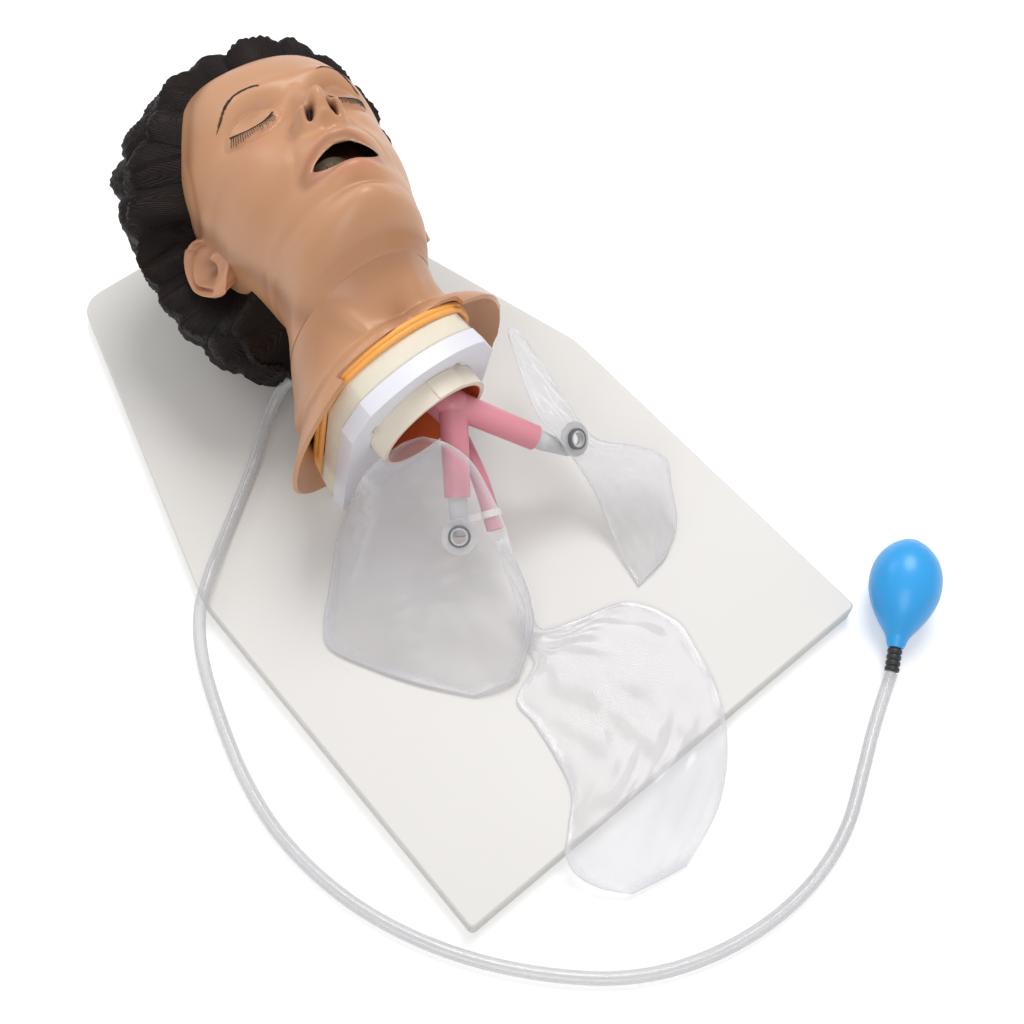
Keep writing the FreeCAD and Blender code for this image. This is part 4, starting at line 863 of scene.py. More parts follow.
SKIN_WALL = 3.2
FACE_COLUMNS, NECK_COLUMNS, HAIR_COLUMNS = 256, 320, 320


def add_face(colours):
    """The face down to the chin and round the back of the head, with both ears."""
    points, facing = head_rings(face_places(), FACE_COLUMNS, 0.42)
    points, inside, pit, upper = with_features(points, facing)
    cap = crown_cap(points[0])
    points = np.concatenate([cap, points])
    pad = np.zeros((3, points.shape[1]))
    inside, pit, upper = (np.concatenate([pad, values]) for values in (inside, pit, upper))
    points[..., 2] = np.maximum(points[..., 2], BOARD_TOP)
    face = shaped_grid("head_face", points)
    place = coordinates(face)
    # painted shade inside the mouth's opening and the nostril pits
    paint(face, "recess_shade", (np.clip(inside * 5.0 - 0.35, 0, 1) + np.clip(pit * 1.9 - 0.45, 0, 1)).ravel())
    x, y, z = in_head_axes(place)
    # painted shade in the face's creases and hollows, at the hairline and behind
    paint(face, "shade", painted_shade_of(x, y, z))
    paint(face, "blush", blush_of(x, y, z))
    paint(face, "rim", bell(upper, 0.10, 0.06).ravel() * (upper.ravel() > 0.01))
    paint(face, "hidden", ((inside > 0.42) | (upper > 0.2)).astype(float).ravel())
    merge_and_turn_out(face)
    turn_from(face, HEAD_CENTRE)
    delete_hidden(face)
    ease_edges(face)
    ears = []
    for side, title in ((-1, "ear_right"), (1, "ear_left")):
        form, depth = ear_form(side, 19.0 if side < 0 else 8.0)
        ear = shaped_grid(title, form)
        # painted shade in the ear's bowl and groove
        paint(ear, "shade", (0.55 * depth).ravel())
        paint(ear, "blush", np.full(len(ear.data.vertices), 0.12))
        for name in ("recess_shade", "rim", "hidden"):
            paint(ear, name, np.zeros(len(ear.data.vertices)))
        merge_and_turn_out(ear)
        turn_from(ear, head_point(side * 66, -4, -8))
        ears.append(ear)
    join(face, ears)
    smooth(face)
    finish_piece(face, None, "skin_vinyl", skin_material(colours), "head_skin")
    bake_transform(face)
    return face


def painted_shade_of(x, y, z):
    """Painted shade on the skin: in the lids' creases, beside the nose, round the mouth, in the fold under
    the lip, at the hairline and behind.
    """
    side = np.abs(x)
    front = z > 30
    lids = 0.30 * bell(y, 21, 5) * bell(side, 31, 14)
    nose_side = 0.25 * bell(side, 20.5, 3.0) * bell(y, -24, 9)
    mouth = 0.35 * bell(np.hypot(x / 27.0, (y - MOUTH_CENTRE) / 11.0), 1.0, 0.16)
    chin = 0.20 * bell(y, -89, 4) * bell(x, 0, 20)
    hairline = 0.35 * bell(y - hairline_height(side), 0, 7.0)
    behind = 0.35 * bell(z, 12, 10) * (y < 40)
    return np.where(front, lids + nose_side + mouth + chin + hairline, hairline + behind)


def blush_of(x, y, z):
    """Where the skin is redder: lips, cheeks and the nose's tip."""
    side = np.abs(x)
    front = z > 30
    lips = 0.45 * bell(np.hypot(x / 24.0, (y + 64.0) / 17.0), 0.86, 0.22)
    cheek = 0.20 * bell(side, 44, 16) * bell(y, -14, 16)
    nose = 0.15 * bell(x, 0, 14) * bell(y, -20, 12)
    return np.where(front, lips + cheek + nose, 0.0)


HAIRLINE = ((0, 89), (30, 86), (56, 70), (73, 38), (83, -24), (130, -30))


def hairline_height(side):
    return np.interp(side, [p[0] for p in HAIRLINE], [p[1] for p in HAIRLINE])


def add_neck():
    """The skin from under the chin to the flaps that wrap the plate."""
    places = np.concatenate([np.linspace(NECK_START, 27.0, 38, endpoint=False), np.linspace(27.0, 28.0, 40)])
    points, facing = head_rings(places, NECK_COLUMNS, 0.2)
    points = with_features(points, facing)[0]
    down = np.clip((places - FACE_END) / 3.0, 0, 1)[:, None]
    cord_side = 34.0 - 20.0 * down
    strap = 3.0 * bell(np.abs(points[..., 0] - 8.0), cord_side, 7.0)
    strap = strap * np.clip(facing * 2, 0, 1) * bell(down, 0.5, 0.45)
    notch = -8.0 * bell(points[..., 0], 15.0, 12.0) * bell(down, 0.9, 0.3) * (facing > 0)
    points = points + np.multiply.outer(strap + notch, np.array([0.0, -0.45, 0.89]))
    broad = bell(places, 26.9, 1.4)[:, None] * np.clip((points[..., 0] - 20.0) / 40.0, 0, 1) * 13.0
    slack = bell(places, 27.2, 0.6)[:, None] * np.clip((-20.0 - points[..., 0]) / 40.0, 0, 1) * 5.0
    points[..., 0] += broad - slack
    middle = points.mean(axis=1, keepdims=True)
    lap = np.clip((FACE_END - places) / 0.3, 0, 1)[:, None, None]
    points = points - (points - middle) * lap * 0.012
    points[..., 2] = np.maximum(points[..., 2], BOARD_TOP + 0.2)
    neck = shaped_grid("neck_skin", points)
    count = len(neck.data.vertices)
    # painted shade: darker where the skin meets the plate and in the hollow at the throat's base
    hollow = bell(np.broadcast_to(down, points.shape[:2]), 0.85, 0.28)
    hollow = hollow * bell(points[..., 0], 12.0, 15.0) * (facing > 0)
    paint(neck, "shade", 0.16 * bell(coordinates(neck)[:, 1], 40.0, 14.0) + 0.34 * hollow.ravel())
    for name in ("recess_shade", "blush", "rim"):
        paint(neck, name, np.zeros(count))
    merge_and_turn_out(neck)
    delete_faces(neck, over_the_plate)
    ease_edges(neck)
    apply_modifier(neck, "SOLIDIFY", thickness=SKIN_WALL * MM, offset=-1.0, use_rim=True)
    smooth(neck, 50)
    finish_piece(neck, None, "skin_vinyl", MADE["skin_vinyl"], "head_skin")
    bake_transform(neck)


def ease_edges(obj):
    """Smooth the steps of a cut edge."""
    make_active(obj)
    bpy.ops.object.mode_set(mode="EDIT")
    bpy.ops.mesh.select_all(action="DESELECT")
    bpy.ops.mesh.select_mode(type="EDGE")
    bpy.ops.mesh.select_non_manifold(
        extend=False, use_multi_face=False, use_non_contiguous=False, use_verts=False)
    bpy.ops.mesh.select_mode(type="VERT")
    bpy.ops.mesh.vertices_smooth(factor=0.5, repeat=14)
    bpy.ops.mesh.select_more()
    bpy.ops.mesh.vertices_smooth(factor=0.5, repeat=3)
    bpy.ops.object.mode_set(mode="OBJECT")


def over_the_plate(centres):
    """What is cut away over the plate, so that only the shoulder flaps stand forward."""
    local = centres - PLATE_FOOT
    x, high, out = local[:, 0], local @ PLATE_UP, local @ PLATE_OUT
    half = np.interp(high, [0, 119, 162, 200], [66.0, 66.0, 47.5, 47.5])
    window = (out > GASKET_BACK - 0.3) & (np.abs(x) < half)
    past = out - GASKET_BACK
    short_flap = (x > 0) & (past > 9.0 + 2.0 * np.sin(high / 30.0))
    round_flap = (x < 0) & (past > 0) & (np.hypot((high - 70.0) / 96.0, past / (BELL_DEPTH - 0.5)) > 1.0)
    return window | short_flap | round_flap


# Eyes

def on_face(tree, x, y, lift=0.0):
    """The place on the face straight behind a point in front of it."""
    start = Vector((head_point(x, y, 180) + nudge(x, y, 80.0)) * MM)
    place, normal = tree.ray_cast(start, Vector(-FORWARD))[:2]
    if place is None:
        raise RuntimeError("no skin at %.0f, %.0f" % (x, y))
    return np.array(place) / MM + np.array(normal) * lift


BROW_HAIRS = 90


def add_eyes(face, sizes):
    """The lids' dark edges, the lashes and the brows, laid on the skin."""
    mesh = face.data
    tree = BVHTree.FromPolygons([v.co for v in mesh.vertices], [p.vertices for p in mesh.polygons])
    rng = np.random.default_rng(7)
    thick, hairs, fringe = [], [], []
    reach = sizes.lash_length / MM
    for side in (-1, 1):
        line = [on_face(tree, side * s, lash_height(s) - 0.3, 0.1) for s in np.linspace(17.5, 45.0, 16)]
        thick.append(line)
        for k in range(sizes.lash_count):
            s = 19.0 + 25.5 * (k + 0.5) / sizes.lash_count
            root = on_face(tree, side * s, lash_height(s) - 0.4, 0.1)
            fan = (s - EYE_SIDE) / 14.0
            away = reach * (0.78 + 0.14 * rng.random())
            hair = [root]
            for share in (0.35, 0.7, 1.0):
                at = side * (s + share * away * (0.35 * fan + 0.1))
                hair.append(on_face(tree, at, lash_height(s) - 0.4 - away * share, 1.0))
            fringe.append(hair)
        for k in range(BROW_HAIRS):
            t = rng.random()
            s = 19.0 + 29.0 * t
            height = 30.0 + 7.5 * math.sin(math.pi * min(1.0, t * 0.95 + 0.08)) - 5.0 * t
            width = 0.7 * (1 - 0.6 * t) + 0.15
            y = height + rng.uniform(-1, 1) * width
            lean = 0.55 - 1.25 * t + rng.normal(0, 0.08)
            length = 5.0 * (1 - 0.25 * t)
            here = on_face(tree, side * s, y, 0.15)
            end_x = side * (s + length * math.cos(lean))
            there = on_face(tree, end_x, y + length * math.sin(lean) * 0.8, 0.25)
            middle = (here + there) / 2 + FORWARD * 0.35
            hairs.append([here, middle, there])
    lashes = strokes("lashes_and_brows", hairs, 0.19)
    edge = strokes("lid_edges", thick, 0.85, resolution=2, taper=(1.0, 1.0))
    fan = strokes("lash_fans", fringe, 0.38, taper=(1.0, 0.5))
    join(lashes, [edge, fan])
    smooth(lashes)
    made = grained("lash_black", (0.012, 0.008, 0.007), (0.03, 0.02, 0.016), rough=(0.4, 0.6), drift=300.0)[0]
    finish_piece(lashes, "head", "hair_dark", made)


# Hair

HAIR_EDGE = 12.0
SCALP_SINK = 5.0
SUNK = -4.9
CURL_SPACING = 31.0
CURL_LINES = (0.2, 1.5, 2.9, 4.2, 5.6, 7.2, 9.6, 12.6, 15.6)


def hair_centres():
    """Middles of the moulded curls, staggered over the scalp, and which way each one turns."""
    rng = np.random.default_rng(12)
    places, turns = [], []
    for line, s in enumerate(CURL_LINES):
        ring = head_rings([s], 256, 0.0)[0]
        length = np.linalg.norm(np.diff(ring[0], axis=0), axis=1).sum()
        count = max(5, int(round(length / CURL_SPACING)))
        for k in range(count):
            at = (k + 0.5 * (line % 2) + rng.uniform(-0.22, 0.22)) / count
            middle = head_rings([min(16.0, max(0.0, s + rng.uniform(-0.35, 0.35)))], 256, 0.0)[0]
            places.append(middle[0, int(at * 256) % 256])
            turns.append(1 if rng.random() > 0.4 else -1)
    places.append(head_point(0, 124, -4))
    turns.append(1)
    return np.array(places), np.array(turns)


def outward_normals(base):
    """Smoothed directions out of the scalp, all alike over the crown."""
    normal = grid_normals(base)
    outward = base - (HEAD_CENTRE + CROWN * 20.0)
    sign = np.sign((normal * outward).sum(axis=2, keepdims=True))
    normal = normal * np.where(sign == 0, 1, sign)
    normal[:3] = CROWN
    normal[:, 0] = normal[:, -1] = (normal[:, 1] + normal[:, -2]) / 2
    for k in range(6):
        normal = normal + np.roll(normal, 1, axis=0) * 0.5 + np.roll(normal, -1, axis=0) * 0.5
        normal = normal / np.linalg.norm(normal, axis=2, keepdims=True)
    normal[:2] = CROWN
    return normal


def curl_forms(base, normal):
    """For every place: 1 in a curl to 0 between curls, the locks' relief, and the way round the spiral."""
    centres, turns = hair_centres()
    flat = base.reshape(-1, 3)
    gap = np.linalg.norm(flat[:, None, :] - centres[None], axis=2)
    nearest = np.argpartition(gap, 2, axis=1)[:, :2]
    pair = np.take_along_axis(gap, nearest, axis=1)
    order = np.argsort(pair, axis=1)
    nearest = np.take_along_axis(nearest, order, axis=1)
    pair = np.take_along_axis(pair, order, axis=1)
    lobe = np.sqrt(np.clip((pair[:, 1] - pair[:, 0]) / 17.0, 0, 1))
    offset = flat - centres[nearest[:, 0]]
    about = normal.reshape(-1, 3)
    first = np.cross(about, CROWN)
    first = first / np.maximum(np.linalg.norm(first, axis=1, keepdims=True), 1e-6)
    second = np.cross(about, first)
    angle = np.arctan2((offset * second).sum(axis=1), (offset * first).sum(axis=1))
    spiral = pair[:, 0] + turns[nearest[:, 0]] * angle / (2 * math.pi) * 9.0
    locks = 0.9 * np.cos(spiral * 2 * math.pi / 4.5) * np.clip(lobe * 1.4, 0, 1)
    shape = base.shape[:2]
    return lobe.reshape(shape), locks.reshape(shape), spiral.reshape(shape)


def inside_hair(x, y, z):
    """How far inside the hair's edge each place lies, in millimetres, evened out."""
    side = np.abs(x)
    top = y - hairline_height(side)
    back = HAIR_EDGE - z + 1.3 * np.minimum(0, y + 24.0) * np.clip((0.0 - x) / 20.0, 0, 1)
    inside = np.maximum(top, back)
    ear_room = (np.hypot((y + 2.0) / 35.0, (z + 4.0) / 21.0) - 1.0) * 26.0
    inside = np.minimum(inside, ear_room + 60.0 * np.clip((54.0 - side) / 14.0, 0, 1))
    low_edge = -43.0 - 9.0 * bell(x, -44.0, 16.0) - 5.0 * bell(x, 18.0, 20.0)
    inside = np.minimum(inside, y - low_edge)
    last = np.arange(len(inside))[::-1, None] - 2.0
    inside = np.minimum(inside, last)
    for k in range(10):
        beside = np.roll(inside[:, :-1], 1, axis=1) + np.roll(inside[:, :-1], -1, axis=1)
        beside = np.concatenate([beside, beside[:, :1]], axis=1)
        over = np.concatenate([inside[:1], inside[:-1]]) + np.concatenate([inside[1:], inside[-1:]])
        inside = (2 * inside + beside + over) / 6
    return inside


def hair_lift(x, y, z, lobe, locks, depth):
    """How far the hair stands off the scalp, or under it past the hair's edge."""
    rise = eased(np.clip((inside_hair(x, y, z) + 1.0) / 9.0, 0, 1))
    turned_side = eased(np.clip(0.5 - x / 90.0, 0, 1))
    more = 24.0 * turned_side * np.clip((60.0 - z) / 50.0, 0, 1) * np.clip((y + 60.0) / 40.0, 0, 1)
    more = more * np.clip((135.0 - y) / 60.0, 0.15, 1) + 4.0 * bell(z, 0, 60) * np.clip(y / 100.0, 0, 1)
    less = 9.0 * np.clip((x - 20.0) / 40.0, 0, 1) * np.clip((z + 60.0) / 60.0, 0, 1)
    thick = depth - 6.0 + more - less + 8.0 * lobe * (1 - 0.4 * np.clip(less / 9.0, 0, 1)) + locks
    return -SCALP_SINK + (thick + SCALP_SINK) * rise


def add_hair(colours, sizes):
    """The moulded hair: a shell over the scalp with curls, left open where it sinks into the skin."""
    base = head_rings(np.linspace(0.0, 21.6, 184), HAIR_COLUMNS, 0.0)[0]
    base = np.concatenate([crown_cap(base[0]), base])
    normal = outward_normals(base)
    x, y, z = in_head_axes(base)
    lobe, locks, spiral = curl_forms(base, normal)
    lift = hair_lift(x, y, z, lobe, locks, sizes.hair_depth / MM)
    points = base + normal * lift[..., None] + nudge(x, y, z)
    points[..., 2] = np.maximum(points[..., 2], BOARD_TOP + 0.2)
    hair = shaped_grid("hair_curls", points)
    paint_any(hair, "strand", spiral.ravel())
    # painted shade in the creases between the curls
    paint(hair, "curl_crease_shade", (1 - lobe).ravel() * 0.9)
    paint(hair, "hidden", (lift < SUNK).astype(float).ravel())
    merge_and_turn_out(hair)
    turn_from(hair, HEAD_CENTRE)
    delete_hidden(hair)
    smooth(hair)
    made, nodes, links, shader = grained(
        "hair_dark", tuple(colours.hair), tuple(v * 1.8 for v in colours.hair), rough=(0.46, 0.66),
        drift=30.0, grain_scale=500.0, grain=0.4, bump=0.2)
    shader.inputs["Specular IOR Level"].default_value = 0.18
    strand_lines(nodes, links, shader)
    finish_piece(hair, "head", "hair_dark", made, "hair")


def strand_lines(nodes, links, shader):
    """Fine strands that follow each curl round, and painted shade in the creases between the curls."""
    strand = attribute_mask(nodes, "strand")
    stray = noise(nodes, links, Scale=60.0, Detail=2.0)
    bend = calculate(nodes, links, "MULTIPLY_ADD", stray.outputs["Fac"], 3.0, strand)
    wave = calculate(nodes, links, "SINE", calculate(nodes, links, "MULTIPLY", bend, 5.2))
    lift_surface(nodes, links, shader, wave, 0.6, 0.0004)
    tint(nodes, links, shader, attribute_mask(nodes, "curl_crease_shade"), (0.004, 0.002, 0.002))


# Mouth

TONGUE_SECTIONS = ((20, 12, -78), (26, 15, -70), (38, 15.5, -66), (50, 13, -68), (58, 9.5, -73), (64, 5, -79))
TONGUE_FLOOR = -88.5


def add_tongue():
    rows = smooth_rows(TONGUE_SECTIONS, 6)
    turn = np.linspace(0, 2 * math.pi, 49)
    rings = []
    for z, half, top in rows:
        high = (top - TONGUE_FLOOR) / 2
        dip = -1.6 * bell(half * np.cos(turn), 0, 2.5) * (np.sin(turn) > 0)
        rings.append([head_point(half * math.cos(t), TONGUE_FLOOR + high + high * math.sin(t) + d, z)
                      for t, d in zip(turn, dip)])
    rings = np.array(rings)
    first, last = rings[0].mean(axis=0), rings[-1].mean(axis=0)
    blunt = [first + (rings[0] - first) * share for share in (0.0, 0.6)]
    tip = [last + (rings[-1] - last) * share + FORWARD * 1.5 * (1 - share) for share in (0.6, 0.0)]
    tongue = shaped_grid("tongue_soft", np.concatenate([blunt, rings, tip]))
    merge_and_turn_out(tongue)
    smooth(tongue)
    made = grained("tongue_pink", (0.50, 0.10, 0.10), (0.40, 0.07, 0.07), rough=(0.3, 0.45), drift=60.0,
                   grain_scale=700.0, grain=0.8, bump=0.3)[0]
    finish_piece(tongue, "lower_jaw", "tongue_pink", made, "tongue")


PHARYNX_RADIUS = 15.2
PHARYNX_ROUTE = ((0, -60, 14), (0, -61, -18), (0, -90, -24.6))


def add_pharynx():
    route = [head_point(*place) for place in PHARYNX_ROUTE]
    tube = new_curve("pharynx_soft", [route], PHARYNX_RADIUS, resolution=8)
    tube.data.use_fill_caps = False
    tube = as_mesh(tube)
    merge_and_turn_out(tube)
    apply_modifier(tube, "SOLIDIFY", thickness=1.6 * MM, offset=-1.0)
    smooth(tube)
    made = grained("mouth_red", (0.17, 0.02, 0.015), (0.10, 0.012, 0.010), rough=(0.3, 0.45), drift=40.0)[0]
    finish_piece(tube, None, "mouth_red", made, "pharynx")
    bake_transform(tube)


# Bags

RIGHT_LUNG_ROWS = (
    ((-60, 288, 19), (-58, 278, 60), (-53, 268, 98), (-28, 260, 120), (-13, 252, 126)),
    ((-76, 278, 19), (-68, 262, 62), (-52, 248, 96), (-25, 244, 119), (-5, 238, 127)),
    ((-92, 262, 19), (-76, 246, 60), (-50, 230, 90), (-21, 226, 110), (4, 222, 115)),
    ((-108, 246, 19), (-82, 228, 56), (-44, 206, 84), (-19, 206, 100), (5, 204, 100)),
    ((-124, 230, 19), (-85, 210, 52), (-38, 188, 77), (-17, 188, 90), (-1, 180, 91)),
    ((-132, 212, 19), (-82, 190, 46), (-31, 171, 68), (-14, 168, 77), (-8, 162, 79)),
    ((-118, 180, 19), (-72, 164, 40), (-22, 156, 54), (-14, 152, 58), (-10, 147, 59)),
    ((-100, 150, 19), (-64, 138, 31), (-26, 132, 38), (-20, 131, 38), (-15, 130, 36)),
    ((-76, 119, 19), (-63, 114, 22), (-54, 111, 22), (-49, 110, 21), (-45, 110, 20)),
)
LEFT_LUNG_ROWS = (
    ((108, 306, 82), (112, 309, 81), (116, 309, 78), (121, 306, 72)),
    ((95, 280, 88), (99, 282, 84), (109, 282, 76), (119, 278, 66)),
    ((80, 252, 95), (92, 252, 85), (104, 250, 74), (113, 248, 62)),
    ((70, 229, 100), (82, 226, 93), (96, 222, 80), (108, 220, 60)),
    ((73, 211, 90), (86, 207, 79), (98, 204, 68), (111, 203, 57)),
    ((79, 195, 68), (90, 191, 64), (108, 189, 58), (131, 184, 52)),
    ((82, 175, 46), (98, 171, 48), (120, 168, 48), (143, 166, 46)),
    ((78, 152, 27), (94, 149, 32), (114, 148, 36), (134, 148, 36)),
    ((72, 129, 20), (84, 128, 24), (102, 127, 26), (122, 128, 24)),
    ((68, 110, 19), (76, 111, 20), (86, 112, 20), (98, 114, 19)),
)
STOMACH_ROWS = (
    ((-3, 187, 58), (1, 186, 59), (5, 185, 58)),
    ((-14, 152, 38), (-8, 152, 40), (-2, 152, 38)),
    ((-24, 130, 22), (-18, 130, 23), (-10, 130, 22)),
    ((-30, 112, 19), (-14, 114, 20), (10, 120, 19)),
    ((-56, 100, 19), (0, 104, 20), (52, 106, 19)),
    ((-58, 80, 19), (6, 80, 20), (70, 74, 19)),
    ((-62, 55, 19), (2, 54, 20), (66, 48, 19)),
    ((-70, 28, 19), (-6, 26, 20), (58, 22, 19)),
    ((-88, 10, 19), (-20, 6, 20), (46, 0, 19)),
    ((-101, -2, 19), (-30, -8, 19), (36, -14, 16.5)),
    ((-104, -16, 15.5), (-40, -24, 14), (20, -30, 11.5)),
    ((-97, -32, 10.5), (-48, -40, 9), (-4, -45, 7.5)),
    ((-82, -48, 6), (-62, -53, 4.6), (-42, -57, 4)),
)
FILM_GAP = 1.2
PORT_HOLE = 11.5
PORTS = {
    "left": (row(87, 206, 78), unit([0.23, -0.69, 0.68])),
    "right": (row(-29, 194, 86), unit([-0.33, -0.36, 0.87])),
}


def bag_places(rows, down, across, wrinkle, seed):
    """A dense smooth film through the bag's rows, with slack wrinkles."""
    rows = np.array([[row(*place) for place in line] for line in rows])
    dense = smooth_rows(rows, down)
    dense = np.moveaxis(smooth_rows(np.moveaxis(dense, 1, 0), across), 1, 0)
    rng = np.random.default_rng(seed)
    lines, columns = dense.shape[:2]
    u = np.linspace(0, 1, lines)[:, None]
    v = np.linspace(0, 1, columns)[None, :]
    waves = 0.0
    for k in range(9):
        a, b = rng.uniform(2, 9), rng.uniform(1, 6)
        turns = a * u + b * v * rng.choice([-1, 1]) + rng.random()
        waves = waves + np.sin(2 * math.pi * turns) / (1 + 0.4 * a)
    rim = np.clip(np.minimum(np.minimum(u, 1 - u) * 7, np.minimum(v, 1 - v) * 4), 0, 1)
    return dense, waves * wrinkle * rim, rim


def film_sheet(name, rows, down, across, wrinkle, seed, puff, port=None):
    """A slack bag: two films welded round their rim, the lower one close under the upper."""
    dense, waves, rim = bag_places(rows, down, across, wrinkle, seed)
    normal = grid_normals(dense)
    normal = normal * np.where(normal[..., 2:3] < 0, -1, 1)
    upper = dense + normal * (waves + puff * rim ** 0.7)[..., None]
    lower = dense - normal * (FILM_GAP + 0.6 * rim)[..., None]
    upper = upper - normal * FILM_GAP * (rim <= 0.02)[..., None]
    top = shaped_grid(name, upper)
    under = shaped_grid(name + "_under", lower[:, ::-1])
    for film in (top, under):
        values = rim if film is top else rim[:, ::-1]
        paint(film, "weld", (1 - np.clip(values * 3.0, 0, 1)).ravel())
    join(top, [under])
    if port is not None:
        place, face = port
        delete_faces(top, lambda c: np.linalg.norm(np.cross(c - place, face), axis=1) < PORT_HOLE)
    flip(top)
    smooth(top)
    return top


def film_material(colours):
    made, nodes, links, shader = clear_film(
        "bag_film", tuple(colours.film), 0.09, 0.21, 0.14, edge=0.55, ripple=30.0, ripple_strength=0.35)
    source = shader.inputs["Alpha"].links[0].from_socket
    weld = attribute_mask(nodes, "weld")
    links.new(calculate(nodes, links, "MULTIPLY_ADD", weld, 0.35, source, clamp=True), shader.inputs["Alpha"])
    return made


# Pulse line

TUBE_ROUTE = (
    (-18.4, 365.6, 76.7), (-25, 379.5, 68.6), (-35, 393, 50), (-53, 389, 33), (-78, 372, 22.8),
    (-110, 349, 20.8), (-141, 327, 21.8), (-166, 307, 26.8), (-188, 289, 23.8), (-205, 262, 11),
    (-219, 221, 4.8), (-231, 176, 4.8), (-236, 126, 4.8), (-227, 66, 4.8), (-203, 9, 4.8),
    (-167, -42, 4.8), (-118, -89, 4.8), (-60, -114, 4.8), (0, -121, 4.8), (54, -111, 4.8),
    (98, -86, 4.8), (132, -66, 6.3), (161.5, -51.5, 10.5),
)
BULB_CENTRE = row(203.5, -19.5, 25.7)
BULB_LENGTH = 80.0
BULB_RADIUS = 25.5
CONNECTOR_LENGTH = 17.0
CONNECTOR_GAP = 1.2
RIBS = 4
BULB_PROFILE = (
    (0.0, 0.22), (0.04, 0.27), (0.10, 0.33), (0.2, 0.55), (0.32, 0.78), (0.46, 0.95), (0.6, 1.0),
    (0.73, 0.94), (0.84, 0.78), (0.93, 0.52), (0.985, 0.24),
)


def add_bulb(colours):
    tube_end = row(*TUBE_ROUTE[-1])
    along = unit(BULB_CENTRE - tube_end)
    start = tube_end + along * (CONNECTOR_GAP + CONNECTOR_LENGTH + 0.3)
    dense = smooth_rows(BULB_PROFILE, 5)
    body = [(share * BULB_LENGTH, BULB_RADIUS * wide) for share, wide in dense]
    lip = [(0.6, 0.02), (0.0, BULB_RADIUS * 0.13), (0.0, BULB_RADIUS * 0.20)]
    end = [(BULB_LENGTH * 0.995, BULB_RADIUS * 0.12), (BULB_LENGTH, 0.02)]
    bulb = turned("pulse_bulb", start, along, lip + body + end, 72)
    smooth(bulb)
    made, _, _, shader = grained(
        "bulb_blue", tuple(colours.bulb), tuple(v * 0.8 for v in colours.bulb), rough=(0.32, 0.42),
        drift=18.0, grain_scale=1200.0, grain=0.4, bump=0.12)
    shader.inputs["Coat Weight"].default_value = 0.2
    shader.inputs["Coat Roughness"].default_value = 0.25
    finish_piece(bulb, "base", "bulb_blue", made, "squeeze_bulb")
    ribs = [(0.0, 0.02)]
    pitch = CONNECTOR_LENGTH / RIBS
    for k in range(RIBS):
        at = k * pitch
        ribs += [(at, 4.3), (at + 0.35, 4.9), (at + 0.9, 5.2)]
        ribs += [(at + pitch - 1.5, 5.2), (at + pitch - 0.9, 4.9), (at + pitch - 0.5, 4.3)]
    ribs += [(CONNECTOR_LENGTH, 4.3), (CONNECTOR_LENGTH, 0.02)]
    connector = turned("ribbed_connector", tube_end + along * CONNECTOR_GAP, along, ribs, 48)
    smooth(connector, 40)
    made = grained(
        "connector_black", (0.02, 0.02, 0.022), (0.035, 0.035, 0.038), rough=(0.38, 0.5), drift=60.0)[0]
    finish_piece(connector, "base", "connector_black", made, "tube_connector")
    return bulb, connector


def add_tube(sizes):
    points = [row(*place) for place in TUBE_ROUTE]
    tube = new_curve("pulse_line", [points], sizes.tube_diameter / MM / 2)
    made = clear_film(
        "tube_clear", (0.58, 0.58, 0.60), 0.26, 0.30, 0.12, edge=0.75, ripple=20.0, ripple_strength=0.02)[0]
    finish_piece(tube, "base", "tube_clear", made, "pulse_tube")


# Operators

FLOOR_GLOW = 0.25
LENS, SENSOR_WIDTH = 50.0, 36.0
CAMERA_PLACE = Vector((-0.3130, -0.4523, 0.9301))
CAMERA_BACK = Vector((-0.3342, -0.3596, 0.8712))
CAMERA_RIGHT = Vector((0.7325, -0.6807, 0.0))
CAMERA_ROLL = math.radians(3.0)
BOARD_CORE_TOP, LAMINATE_LOW = 0.0149, 0.0153
SLEEVE_INSIDE = (39.3, 39.9)


